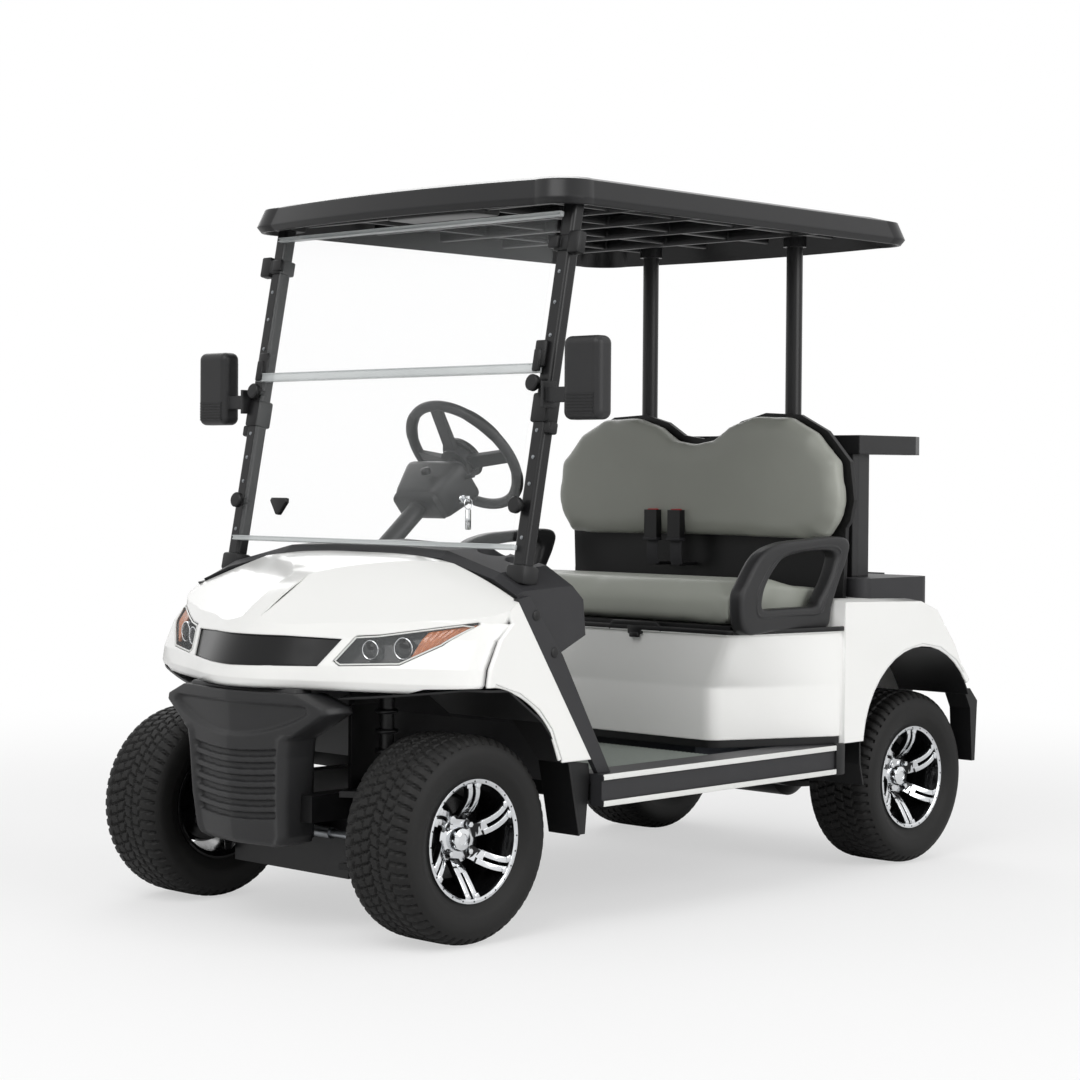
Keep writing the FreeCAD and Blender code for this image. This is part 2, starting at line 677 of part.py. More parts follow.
def shock(place, along, foot, head):
    """A shock absorber with a coil spring round it, upright."""
    axis = Vector(0, 0, 1)
    length = head - foot
    body = Part.makeCylinder(d.shock_radius, length, Vector(place, along, foot), axis)
    first = foot + d.coil_wire + 14
    pitch = (length - 2 * d.coil_wire - 40) / d.coil_count
    middle = d.coil_radius - d.coil_wire / 2
    parts = [body]
    for turn in range(int(d.coil_count) + 1):
        height = first + turn * pitch
        parts.append(Part.makeTorus(middle - d.coil_wire / 2, d.coil_wire * 0.6,
                                    Vector(place, along, height), axis))
    return body.fuse(parts[1:]).removeSplitter()


def shock_absorbers():
    """The front pair stands on the lower arms and the rear pair on the axle."""
    arm_top = d.lower_joint + d.arm_thick / 2 + d.seat_gap
    front = shock(d.shock_place, FRONT_AXLE, arm_top, d.tower_top - d.tower_thick - d.seat_gap)
    rear = shock(d.shock_place, REAR_AXLE, d.tyre_radius + d.axle_radius + d.seat_gap,
                 d.rear_tower_top - d.tower_thick - d.seat_gap)
    node(feature("shock_set", Part.makeCompound(both_sides(front) + both_sides(rear))), "shock_absorbers")


def rear_axle():
    """The axle tube with its motor and gear case, and the two half shafts."""
    at = ("0", "wheelbase / 2", "tyre_radius")
    body = turned("axle_body", [
        ("-shaft_reach", "0"),
        ("-shaft_reach", "shaft_radius"),
        ("-axle_half", "shaft_radius"),
        ("-axle_half", "axle_radius + 12"),
        ("-axle_half + 12", "axle_radius + 12"),
        ("-axle_half + 12", "axle_radius"),
        ("-motor_half - 30", "axle_radius"),
        ("-motor_half", "motor_radius - 8"),
        ("-motor_half + 10", "motor_radius"),
        ("motor_half - 10", "motor_radius"),
        ("motor_half", "motor_radius - 8"),
        ("motor_half + 30", "axle_radius"),
        ("axle_half - 12", "axle_radius"),
        ("axle_half - 12", "axle_radius + 12"),
        ("axle_half", "axle_radius + 12"),
        ("axle_half", "shaft_radius"),
        ("shaft_reach", "shaft_radius"),
        ("shaft_reach", "0"),
    ])
    node(put(body, *at), "rear_axle")


def leaf_springs():
    """A leaf spring under the axle on each side, hung from the rail at both ends."""
    middle = d.tyre_radius - d.axle_radius - d.seat_gap
    eye_front = REAR_AXLE - d.leaf_reach
    eye_rear = REAR_AXLE + d.leaf_reach - 30
    low_front = d.rail_top - d.rail_height - d.seat_gap
    low_rear = low_front + d.kick_height
    def leaf(height):
        path = Part.Arc(Vector(0, eye_front, height + d.leaf_sag),
                        Vector(0, REAR_AXLE, height), Vector(0, eye_rear, height + d.leaf_sag))
        return path.toShape()
    upper = leaf(middle)
    lower = leaf(middle - d.leaf_thick)
    ends = [Part.makeLine(upper.Vertexes[i].Point, lower.Vertexes[i].Point) for i in (0, 1)]
    wire = Part.Wire(Part.__sortEdges__([upper, lower] + ends))
    spring = Part.Face(wire).extrude(Vector(d.rail_width, 0, 0))
    def hanger(place, top):
        return Part.makeBox(d.rail_width, 30, top - (middle + d.leaf_sag - d.leaf_thick),
                            Vector(0, place, middle + d.leaf_sag - d.leaf_thick))
    whole = spring.fuse([hanger(eye_front - 15, low_front), hanger(eye_rear - 15, low_rear)])
    whole.translate(Vector(d.rail_inner, 0, 0))
    return feature("leaf_set", Part.makeCompound(both_sides(whole.removeSplitter())))


def battery_pack():
    block = box("battery_block", ("-battery_half", "battery_front", "rail_top + seat_gap"),
                ("2 * battery_half", "battery_rear - battery_front", "battery_height"))
    node(block, "battery_pack")


def floor_panel():
    """The floor with its toe board, one moulding of even thickness."""
    low = "rail_top + seat_gap"
    slope = "floor_front - toe_run"
    panel = prism("floor_moulding", "YZ_Plane", "-floor_half", "2 * floor_half", [
        ("floor_rear", low),
        ("floor_rear", f"{low} + floor_thick"),
        ("floor_front", f"{low} + floor_thick"),
        (slope, f"{low} + toe_rise"),
        (slope, "toe_top"),
        (f"{slope} - floor_thick / 2", "toe_top"),
        (f"{slope} - floor_thick / 2", f"{low} + toe_rise - 6"),
        ("floor_front - 8", low),
    ])
    node(panel, "floor_panel")


def sills():
    """A hollow sill on each side with a raised band along both edges of its face."""
    sill = prism("sill", "XZ_Plane", "sill_front", "sill_rear - sill_front", [
        ("floor_half + seat_gap", "sill_top - 8"),
        ("floor_half + seat_gap", "sill_top - 14"),
        ("sill_outer - sill_bead - sill_hollow", "sill_top - 14"),
        ("sill_outer - sill_bead - sill_hollow", "sill_low"),
        ("sill_outer - 3", "sill_low"),
        ("sill_outer", "sill_low + 3"),
        ("sill_outer", "sill_low + bead_height"),
        ("sill_outer - sill_bead", "sill_low + bead_height + 3"),
        ("sill_outer - sill_bead", "sill_top - bead_height - 3"),
        ("sill_outer", "sill_top - bead_height"),
        ("sill_outer", "sill_top - 5"),
        ("sill_outer - 5", "sill_top"),
        ("floor_half + 14", "sill_top"),
    ])
    node(pair("sill_pair", sill), "sills")


def setback(share, extra=0.0):
    """How far the nose lies behind its foremost point, at a share of the half width."""
    wrap = d.corner_wrap * (1 - math.sqrt(max(0.0, 1 - min(1.0, share) ** 14)))
    return d.bow * share ** d.bow_power + wrap + extra


def nose_section(x, inset=0.0, down=0.0):
    """The front body's side view at one place across, as a closed wire."""
    share = abs(x) / d.front_half
    back = setback(share) + inset * 1.15
    crown = d.hood_crown * share ** 3
    rear = Vector(x, -d.hood_rear - d.hood_sweep * share ** 2, d.hood_height - crown - inset)
    brow = Vector(x, -d.front_reach + d.brow_run + back, d.brow_height - 8 * share - inset * 0.6)
    middle = (rear + brow) / 2 + Vector(0, -0.4, 1) * d.hood_bulge
    lamp_top = Vector(x, -d.front_reach + d.lamp_top_run + back, d.lamp_top - inset * 0.2)
    lamp_low = Vector(x, -d.front_reach + d.lamp_low_run + back, d.lamp_low)
    lip = Vector(x, -d.front_reach + back, d.lip_height)
    chin = Vector(x, -d.front_reach + 22 + back, d.lip_low - 46 - down)
    leg_front = Vector(x, -d.front_reach + 60 + back, d.leg_low - down)
    leg_rear = Vector(x, d.leg_rear, d.leg_low - down)
    if inset:
        rear.y += LONG / 30
        leg_rear.y += LONG / 30
    top = Part.BSplineCurve()
    top.interpolate([rear, middle, brow])
    corners = [brow, lamp_top, lamp_low, lip, chin, leg_front, leg_rear, rear]
    edges = [top.toShape()]
    edges += [Part.makeLine(corners[i], corners[i + 1]) for i in range(len(corners) - 1)]
    return Part.Wire(edges)


def nose_solid(inset=0.0, down=0.0):
    shares = (-1.0, -0.93, -0.8, -0.6, -0.35, 0.0, 0.35, 0.6, 0.8, 0.93, 1.0)
    half = d.front_half - inset
    wires = [nose_section(share * half, inset, down) for share in shares]
    return Part.makeLoft(wires, True, False)


def fender_cuts(drop=0.0):
    """Wedges that leave the flat facet between the hood's crease and the shoulder."""
    crease_front = Vector(282, -927, 700 - drop)
    crease_rear = Vector(483, -690, 797 - drop)
    lamp_tip = Vector(520, -818, 706 - drop)
    normal = (crease_rear - crease_front).cross(lamp_tip - crease_front)
    if normal.z < 0:
        normal = normal * -1
    turn = Rotation(Vector(0, 0, 1), normal)
    wedge = Part.makeBox(LONG, LONG, LONG / 4, Vector(-LONG / 2, -LONG / 2, 0))
    wedge.Placement = Placement(crease_front, turn).multiply(wedge.Placement)
    keep = Part.makeBox(LONG, LONG, LONG, Vector(30, -LONG / 2, 0))
    return both_sides(wedge.common(keep))


def lamp_outline(grow=0.0):
    """The headlamp's front view, as (x, z) points of the left lamp."""
    return [(522 + grow, 708 + grow), (330, 676 + grow), (278 - grow, 672 + grow), (246 - grow, 616),
            (262, 606 - grow), (395, 612 - grow), (470 + grow, 656 - grow)]


def grille_outline(grow=0.0):
    """The grille panel's front view, as (x, z) points."""
    half = [(216 + grow, 604 - grow), (250 + grow, 664 + grow * 0.5), (120, 668 + grow)]
    return half + [(-x, z) for x, z in reversed(half)] + [(0, 599 - grow)]


def chin_cut():
    """What is open under the lip and ahead of the front wheels."""
    low = d.leg_low - 200
    edge = [(d.lip_half, d.lip_low - 4), (d.lip_tip, d.lip_tip_low), (350, 532), (450, 562),
            (LONG / 4, d.front_arch_top)]
    outline_points = [(0, d.lip_low)] + edge + [(LONG / 4, low)]
    outline_points += [(-x, z) for x, z in reversed(outline_points[1:])]
    return front_slab(-LONG / 2, FRONT_AXLE + 24, outline_points)


def arch_cut():
    """What is open behind the front wheels' tops, down to the leg."""
    top = d.front_arch_top
    rear = d.front_arch_rear
    points = [(FRONT_AXLE + 23, top), (rear - 134, top - 25), (rear - 73, top - 64),
              (rear - 32, top - 109), (rear, d.leg_low + 7), (rear, 0), (FRONT_AXLE + 23, 0)]
    return side_slab(-LONG / 4, LONG / 4, points)


def front_body():
    """The white front moulding, hollow, with the lamps' and the grille's windows."""
    outer = nose_solid()
    inner = nose_solid(d.body_wall, 200.0)
    for wedge in fender_cuts():
        outer = outer.cut(wedge)
    for wedge in fender_cuts(d.body_wall * 1.3):
        inner = inner.cut(wedge)
    shell = outer.cut(inner).cut(chin_cut()).cut(arch_cut())
    reach = -LONG / 2
    lamp = front_slab(reach, FRONT_AXLE + 20, lamp_outline())
    grille = front_slab(reach, FRONT_AXLE, grille_outline())
    shell = shell.cut(lamp).cut(lamp.mirror(Vector(), Vector(1, 0, 0))).cut(grille)
    node(feature("front_shell", largest(shell)), "front_body")
    return outer, largest(shell)


def largest(shape):
    """The biggest solid of a shape, which drops slivers that a cut leaves."""
    return sorted(shape.Solids, key=lambda solid: solid.Volume)[-1]


def skin_between(chunk, depth_from, depth_to, window):
    """A sheet that follows the nose's outer form inside a window."""
    near = chunk.translated(Vector(0, depth_from, 0))
    far = chunk.translated(Vector(0, depth_to, 0))
    return largest(near.common(window).cut(far))


def lamps_and_grille(outer):
    """Lamp housings, clear lenses and the black grille panel, flush in their windows."""
    reach = -LONG / 2
    gap = -d.seat_gap
    lamp = front_slab(reach, FRONT_AXLE + 19, lamp_outline(gap))
    grille = front_slab(reach, FRONT_AXLE, grille_outline(gap))
    eye = outer.common(front_slab(reach, FRONT_AXLE + 200, lamp_outline(30)))
    mouth = outer.common(front_slab(reach, FRONT_AXLE + 200, grille_outline(30)))
    lens = skin_between(eye, 1, 5, lamp)
    housing = skin_between(eye, 34, 44, lamp)
    panel = skin_between(mouth, 6, 14, grille)
    node(feature("lens_pair", Part.makeCompound(both_sides(lens) + tail_lenses())), "lamp_lenses")
    rim_wall = lamp.cut(front_slab(reach, FRONT_AXLE + 19, lamp_outline(gap - 4)))
    bowl = skin_between(eye, 5 + d.seat_gap, 44, rim_wall).fuse(housing)
    node(feature("lamp_pair", Part.makeCompound(both_sides(largest(bowl.removeSplitter())))),
         "headlamps")
    node(feature("grille_sheet", panel), "grille_panel")


def tail_lenses(grow=0.0):
    """The tail lamps, upright on the rear corners."""
    lens = Part.makeBox(26 + 2 * grow, 30 + 2 * grow, 92 + 2 * grow,
                        Vector(-13 - grow, -22 - grow, -46 - grow))
    lens = lens.makeFillet(6, lens.Edges)
    lens.rotate(Vector(), Vector(1, 0, 0), 14)
    lens.translate(Vector(d.deck_half - 14, d.fender_reach - 84, 590))
    return both_sides(lens)


def front_bumper():
    """The dark louvred bumper under the lip, bowed like the nose above it."""
    half_top = d.lip_half - 4
    outline_points = [(0, d.lip_low - 3), (half_top, d.lip_low - 7), (d.lip_tip - 4, d.lip_tip_low - 4),
                      (176, 442), (170, 400), (158, 214), (140, 200), (0, 196)]
    outline_points += [(-x, z) for x, z in reversed(outline_points[1:-1])]
    form = front_slab(-LONG / 2, FRONT_AXLE - 120, outline_points)
    def sheet_of(shift):
        wires = []
        for x in (-290, -200, -100, 0, 100, 200, 290):
            face = -d.front_reach - 6 + 0.5 * setback(abs(x) / d.front_half) + shift
            wires.append(Part.makePolygon([Vector(x, face + 26, 180), Vector(x, face + 10, 300),
                                           Vector(x, face, 520), Vector(x, face + 4, 560),
                                           Vector(x, -900, 560), Vector(x, -900, 180),
                                           Vector(x, face + 26, 180)]))
        return Part.makeLoft(wires, True, True)
    shell = sheet_of(0).cut(sheet_of(34)).common(form)
    skin = sheet_of(-2).cut(sheet_of(9))
    grooves = [Part.makeBox(250, LONG, 9, Vector(-125, -LONG / 2, 268 + number * 30)) for number in range(5)]
    scoop = front_slab(-LONG / 2, 0, [(-140, 524), (140, 524), (118, 488), (-118, 488)])
    shell = shell.cut(skin.common(Part.makeCompound(grooves + [scoop])))
    boss = Part.makeBox(d.rail_width - 10, 70, d.rail_height - 14,
                        Vector(d.rail_inner + 5, d.rail_front - d.seat_gap - 70,
                               d.rail_top - d.rail_height + 7))
    shell = shell.fuse(both_sides(boss.common(sheet_of(8)))).removeSplitter()
    node(feature("bumper_shell", largest(shell)), "front_bumper")


def wheel_liners():
    """Black liners over the wheels, each ending in a mud flap."""
    top = d.front_arch_top
    rear = d.front_arch_rear
    wall = d.liner_wall
    x_out = d.front_half - d.body_wall - d.seat_gap
    roof_path = [(FRONT_AXLE - 175, top - 40), (FRONT_AXLE - 40, top - 10), (FRONT_AXLE + 70, top - 16),
                 (rear - 60, top - 90)]
    wall_path = [(rear - 80, top - 74), (rear - 60, top - 90), (rear + 30, top - 190), (rear + 66, 216)]
    flap = side_slab(d.flap_inner, d.flap_outer, [(rear + 62, 216), (rear + 34, d.leg_low),
                                                  (rear + 100, d.leg_low - 10), (rear + 104, 350),
                                                  (rear + 90, 216)])
    front = ribbon(roof_path, wall, 262, x_out).fuse([ribbon(wall_path, wall, 462, x_out), flap])
    front = front.common(nose_solid(d.body_wall + 2 * d.seat_gap, 200)).removeSplitter()
    rear_out = d.rear_half - d.body_wall - d.seat_gap
    rear_liner = ribbon(rear_arch_points(wall + 3, 56), wall, d.battery_half + 5, rear_out)
    lip = d.skirt_low - d.seat_gap
    rear_flap = side_slab(478, 545, [(1062, 400), (1072, 256), (1086, 256), (1096, 420), (1060, lip),
                                     (1030, lip)])
    back = rear_liner.fuse(rear_flap).removeSplitter()
    node(feature("liner_set", Part.makeCompound(both_sides(front) + both_sides(back))), "wheel_liners")


def ribbon(points, thick, x_from, x_to):
    """A bent strip of even thickness that hangs from (y, z) points."""
    back = []
    for index, (y, z) in enumerate(points):
        y_before, z_before = points[max(index - 1, 0)]
        y_after, z_after = points[min(index + 1, len(points) - 1)]
        along, up = y_after - y_before, z_after - z_before
        length = math.hypot(along, up)
        back.append((y + up / length * thick, z - along / length * thick))
    return side_slab(x_from, x_to, points + list(reversed(back)))


def rear_arch_points(grow=0.0, last=-20):
    """Points round the rear wheel arch, from its front foot over to its rear foot."""
    radius = d.rear_arch_radius + grow
    centre = d.tyre_radius + d.rear_arch_rise
    points = []
    for step in range(13):
        angle = math.radians(200 - step * (200 - last) / 12)
        points.append((REAR_AXLE - 30 + radius * 1.02 * math.cos(angle), centre + radius * math.sin(angle)))
    return points


def box_section(height, half, front, half_side, inset=0.0):
    points = [(-half + inset, front + inset), (half - inset, front + inset),
              (half_side - inset, d.box_side + inset), (half_side - inset, d.box_rear + 20),
              (-half_side + inset, d.box_rear + 20), (-half_side + inset, d.box_side + inset)]
    return polygon([(x, y, height) for x, y in points])


def seat_box_solid(inset=0.0, low=0.0, high=0.0):
    """The seat box, upright to its crease and leaning out above it."""
    def section(height, share):
        half = d.box_half_low + (d.box_half_top - d.box_half_low) * share
        front = d.box_front_low + (d.box_front_top - d.box_front_low) * share
        return box_section(height, half, front, d.rear_half - 8, inset)
    lower = Part.makeLoft([section((d.sill_top + d.seat_gap) - low, 0), section(d.box_crease, 0)], True, True)
    upper = Part.makeLoft([section(d.box_crease, 0), section(d.box_top + high, 1)], True, True)
    return lower.fuse(upper)


def fender_section(x, inset=0.0, low=0.0):
    share = abs(x) / d.rear_half
    draw = 22 * share ** 2 + 34 * share ** 8 + inset
    fall = 14 * share ** 6 + inset
    front = d.box_side + 25 + inset
    points = [(front, (d.sill_top + d.seat_gap) - low), (front, d.fender_top - fall),
              (REAR_AXLE - 40, d.fender_top - 8 - fall), (d.fender_reach - 150 - draw, d.fender_top - 34 - fall),
              (d.fender_reach - 66 - draw, d.fender_top - 130 - fall), (d.fender_reach - draw, 470),
              (d.fender_reach + 4 - draw, (d.sill_top + d.seat_gap) - low)]
    return polygon([(x, y, z) for y, z in points])


def fender_solid(inset=0.0, low=0.0):
    half = d.rear_half - inset
    shares = (-1.0, -0.9, -0.7, -0.4, 0.0, 0.4, 0.7, 0.9, 1.0)
    return Part.makeLoft([fender_section(share * half, inset, low) for share in shares], True, True)


def rear_body():
    """The white rear moulding: seat box and fenders, hollow, open under the seat."""
    wall = d.body_wall
    outer = seat_box_solid().fuse(fender_solid())
    inner = seat_box_solid(wall, 200, 0).common(
        Part.makeBox(LONG, LONG, LONG, Vector(-LONG / 2, -LONG / 2, d.box_top - wall - LONG)))
    inner = inner.fuse(fender_solid(wall, 200))
    shell = outer.cut(inner)
    arch = side_slab(-LONG / 4, LONG / 4, rear_arch_points() + [(REAR_AXLE + 260, 0), (REAR_AXLE - 300, 0)])
    shell = shell.cut(arch)
    hatch = Part.makeBox(2 * d.battery_half + 120, 300, 400,
                         Vector(-d.battery_half - 60, d.box_front_low + 30, d.box_top - 200))
    shell = shell.cut(hatch)
    well = Part.makeBox(2 * d.well_half, d.well_rear - d.well_front, 400,
                        Vector(-d.well_half, d.well_front, d.well_low + 60))
    recess = Part.makeBox(2 * d.recess_half, d.recess_rear - d.box_side + 5, 300,
                          Vector(-d.recess_half, d.box_side - 5, d.box_top - 3))
    shell = shell.cut(well).cut(recess).cut(Part.makeCompound(tail_lenses(d.seat_gap)))
    for half, low in ((LONG / 4, d.skirt_low), (360, 400)):
        foot = Part.makeBox(2 * half, 400, low, Vector(-half, REAR_AXLE + 100, 0))
        if half == 360:
            shell = shell.cut(foot)
        else:
            shell = shell.cut(foot.cut(Part.makeBox(720, 500, 500, Vector(-360, REAR_AXLE, 0))))
    node(feature("rear_shell", largest(shell)), "rear_body")


def rear_deck():
    """The dark deck behind the seat, with the well for the golf bags."""
    top = d.deck_top
    plate = Part.makeBox(2 * d.deck_half, d.deck_rear - d.deck_front, 2 * (top - d.fender_top),
                         Vector(-d.deck_half, d.deck_front, 2 * d.fender_top - top))
    upright = [edge for edge in plate.Edges if abs(edge.tangentAt(0).z) > 0.9]
    plate = plate.makeFillet(40, upright).cut(fender_solid().translated(Vector(0, 0, d.seat_gap)))
    wall = d.body_wall
    def tub(grow):
        return Part.makeBox(2 * (d.well_half - 6 + grow), d.well_rear - d.well_front - 12 + 2 * grow, 400,
                            Vector(-d.well_half + 6 - grow, d.well_front + 6 - grow, d.well_low - grow))
    skin = tub(0).common(Part.makeBox(LONG, LONG, LONG, Vector(-LONG / 2, -LONG / 2, top - LONG)))
    whole = plate.fuse(skin).cut(tub(-wall))
    node(feature("deck_whole", largest(whole.removeSplitter())), "rear_deck")


def seat_surround():
    """The black tray round the seat's foot, on top of the seat box."""
    low = d.box_top + d.seat_gap
    high = d.cushion_low - d.pan_thick - d.seat_gap
    points = [(-d.box_half_top, d.box_front_top), (d.box_half_top, d.box_front_top),
              (d.rear_half - 20, d.box_side), (-d.rear_half + 20, d.box_side)]
    ring = plan_slab(low, high, points)
    hole = Part.makeBox(2 * d.battery_half + 120, 270, 100,
                        Vector(-d.battery_half - 60, d.box_front_low + 30, low - 20))
    node(feature("surround_ring", ring.cut(hole)), "seat_surround")


def seat():
    """The seat cushion on its board, which tips back together."""
    cushion = prism("cushion_block", "YZ_Plane", "-cushion_half", "2 * cushion_half", [
        ("cushion_front", "cushion_low"),
        ("cushion_front - 4", "cushion_top - 40"),
        ("cushion_front + 26", "cushion_top - 8"),
        ("cushion_front + 90", "cushion_top"),
        ("cushion_rear - 120", "cushion_top - 8"),
        ("cushion_rear", "cushion_top - 18"),
        ("cushion_rear", "cushion_low"),
    ])
    node(cushion, "seat_cushion")
    board = box("board_block", ("-cushion_half + 10", "cushion_front + 6", "cushion_low - pan_thick"),
                ("2 * cushion_half - 20", "cushion_rear - cushion_front - 12", "pan_thick - seat_gap"))
    node(board, "seat_board")


def back_outline(grow=0.0):
    """The backrest's front view: two humps, a dip between them and rounded shoulders."""
    half = d.back_half + grow
    top = d.back_top + grow
    low = d.back_low - grow
    right = [(0, d.back_dip + grow), (70, d.back_dip + 10 + grow), (130, top - 22), (215, top),
             (330, top - 6), (420, top - 50), (half - 14, top - 130), (half, top - 230),
             (half - 12, low + 60), (half - 50, low + 8), (half - 120, low), (0, low + 2)]
    return right + [(-x, z) for x, z in reversed(right[1:-1])]


def backrest():
    """The backrest cushion, with the black shell that carries it on the posts."""
    rear = d.back_front + d.back_thick
    cushion = front_slab(d.back_front, rear - d.seat_gap, back_outline())
    node(feature("back_block", cushion), "backrest_cushion")
    shell = front_slab(rear, rear + d.shell_thick, back_outline(5))
    apron = front_slab(rear, rear + d.shell_thick, [(-d.back_half + 30, d.shell_low),
                                                    (d.back_half - 30, d.shell_low),
                                                    (d.back_half - 20, d.back_low + 60),
                                                    (-d.back_half + 20, d.back_low + 60)])
    mounts = []
    reach = d.post_back - d.post_radius - rear - d.shell_thick - d.seat_gap
    for x in (-d.post_place, d.post_place):
        for height in (d.shell_low + 110, d.back_top - 140):
            mounts.append(Part.makeBox(44, reach, 60, Vector(x - 22, rear + d.shell_thick, height)))
    node(feature("back_shell", shell.fuse([apron] + mounts).removeSplitter()), "backrest_shell")


def armrests():
    """A moulded armrest on each side, open in the middle."""
    low = d.cushion_low - d.pan_thick
    outer = [(84, low), (66, 730), (92, 770), (153, 842), (230, 864), (326, 871), (490, 877), (514, 862),
             (503, 824), (476, 792), (434, 696), (414, low)]
    hole = [(160, 700), (159, 735), (180, 775), (221, 818), (300, 838), (427, 842), (461, 823), (420, 760),
            (372, 700)]
    inner = d.arm_rest_inner
    blade = side_slab(inner, inner + d.arm_rest_width, outer).cut(side_slab(inner - 5, LONG / 4, hole))
    node(feature("arm_rest_pair", Part.makeCompound(both_sides(blade))), "armrests")


def seat_belts():
    """Two belt buckles on short stalks from the backrest's shell."""
    shapes = []
    for x in (-118, -34):
        stalk = Part.makeBox(24, d.back_thick + 12 - d.seat_gap, 8, Vector(x - 12, d.back_front - 12, 786))
        riser = Part.makeBox(24, 8, 80, Vector(x - 12, d.back_front - 12, 786))
        head = Part.makeBox(44, 22, 78, Vector(x - 22, d.back_front - 24, 860))
        shapes.append(stalk.fuse([riser, head]).removeSplitter())
    node(feature("belt_set", Part.makeCompound(shapes)), "seat_belts")


def dash_section(x):
    share = abs(x) / d.front_half
    drop = 44 * share ** 2
    fall = 60 * share ** 6
    front = -d.hood_rear - d.hood_sweep * share ** 2 + 7
    top = d.hood_height - d.hood_crown * share ** 3
    points = [(front + 12, top - 16), (front, top + 2), (front + 22, top + 20 - fall * 0.2),
              (-544, 874 - drop - fall), (-508, 842 - drop - fall), (-500, 668), (-586, 630),
              (-640, 680)]
    return polygon([(x, y, z) for y, z in points])


def dashboard(shell):
    """The black cowl and dashboard, fitted to the front body's rear edge."""
    half = d.front_half - d.strip_width
    shares = (-1.0, -0.85, -0.5, 0.0, 0.5, 0.85, 1.0)
    whole = Part.makeLoft([dash_section(share * half) for share in shares], True, True)
    for socket in pillar_shapes(d.seat_gap):
        whole = whole.cut(socket)
    for x in (410, 320):
        whole = whole.cut(Part.makeCylinder(d.cup_radius, d.cup_depth + 100, Vector(x, -570, 850 - d.cup_depth)))
    whole = whole.cut(column_shape(d.column_radius + d.seat_gap)).fuse(side_strips())
    for back in (0, 1.3 * d.seat_gap):
        whole = whole.cut(shell.translated(Vector(0, back, 0)))
    node(feature("dash_whole", largest(whole.removeSplitter())), "dashboard")


def pillar_point(height, ahead=0.0):
    return d.pillar_foot + (height - d.pillar_low) * d.pillar_lean - ahead


def pillar_shapes(grow=0.0):
    """Both windscreen pillars, which lean back up to the roof."""
    half = d.pillar_width / 2 + grow
    deep = d.pillar_depth / 2 + grow
    low = d.pillar_low - grow
    high = d.roof_low + d.roof_side - d.roof_wall - d.seat_gap
    points = [(pillar_point(low, deep), low), (pillar_point(low, -deep), low),
              (pillar_point(high, -deep), high), (pillar_point(high, deep), high)]
    blade = side_slab(d.pillar_place - half, d.pillar_place + half, points)
    upright = [edge for edge in blade.Edges if edge.Length > 400]
    return both_sides(blade.makeFillet(9, upright))


def front_pillars():
    node(feature("pillar_pair", Part.makeCompound(pillar_shapes())), "front_pillars")


def windscreen():
    """Two clear panes, just ahead of the pillars."""
    ahead = d.pillar_depth / 2 + 3
    shapes = []
    for low, high in ((d.glass_low, d.glass_middle - d.glass_rail / 2 - d.seat_gap),
                      (d.glass_middle + d.glass_rail / 2 + d.seat_gap, d.glass_top)):
        points = [(pillar_point(low, ahead), low), (pillar_point(low, ahead + d.glass_thick), low),
                  (pillar_point(high, ahead + d.glass_thick), high), (pillar_point(high, ahead), high)]
        shapes.append(side_slab(-d.glass_half, d.glass_half, points))
    node(feature("glass_set", Part.makeCompound(shapes)), "windscreen")


def windscreen_rails():
    """The rail between the panes, the foot rail and the clamps on the pillars."""
    ahead = d.pillar_depth / 2
    shapes = []
    for height, tall in ((d.glass_middle, d.glass_rail), (d.glass_low - 5, 10)):
        low = height - tall / 2
        high = height + tall / 2 - (0 if tall > 10 else d.seat_gap)
        points = [(pillar_point(low, ahead + d.seat_gap), low), (pillar_point(low, ahead + 13), low),
                  (pillar_point(high, ahead + 13), high), (pillar_point(high, ahead + d.seat_gap), high)]
        shapes.append(side_slab(-d.pillar_place - 14, d.pillar_place + 14, points))
    node(feature("rail_set", Part.makeCompound(shapes)), "windscreen_rails")


def mirrors():
    """A door mirror on each pillar, with its arm."""
    house = Part.makeBox(2 * d.mirror_half, d.mirror_depth, d.mirror_top - d.mirror_low,
                         Vector(d.mirror_place - d.mirror_half, d.mirror_back - d.mirror_depth / 2,
                                d.mirror_low))
    house = house.makeFillet(18, house.Edges)
    arm_low = 1192
    start = d.pillar_place + d.pillar_width / 2 + d.seat_gap
    arm = Part.makeBox(d.mirror_place - start, 26, 34, Vector(start, d.mirror_back - 13, arm_low))
    clamp = Part.makeBox(8, 44, 60, Vector(start, d.mirror_back - 22, arm_low - 12))
    whole = house.fuse([arm, clamp]).removeSplitter()
    node(feature("mirror_pair", Part.makeCompound(both_sides(whole))), "mirrors")


def roof_wire(height, grow, lift=0.0):
    """A rounded plan of the roof, bowed at its front and rear edges."""
    half = d.roof_half + grow
    front = d.roof_front - grow
    rear = d.roof_rear + grow
    corner = d.roof_corner
    bow = 42
    points = [(-half, front + bow + corner), (-half + 14, front + bow + 26), (-half + corner, front + bow),
              (0, front), (half - corner, front + bow), (half - 14, front + bow + 26),
              (half, front + bow + corner), (half, rear - bow - corner), (half - 14, rear - bow - 26),
              (half - corner, rear - bow), (0, rear), (-half + corner, rear - bow),
              (-half + 14, rear - bow - 26), (-half, rear - bow - corner)]
    spots = [Vector(x, y, height) for x, y in points]
    edges = [Part.Arc(spots[i], spots[i + 1], spots[i + 2]).toShape() for i in (0, 2, 4, 7, 9, 11)]
    edges += [Part.makeLine(spots[6], spots[7]), Part.makeLine(spots[13], spots[0])]
    return Part.Wire(Part.__sortEdges__(edges))


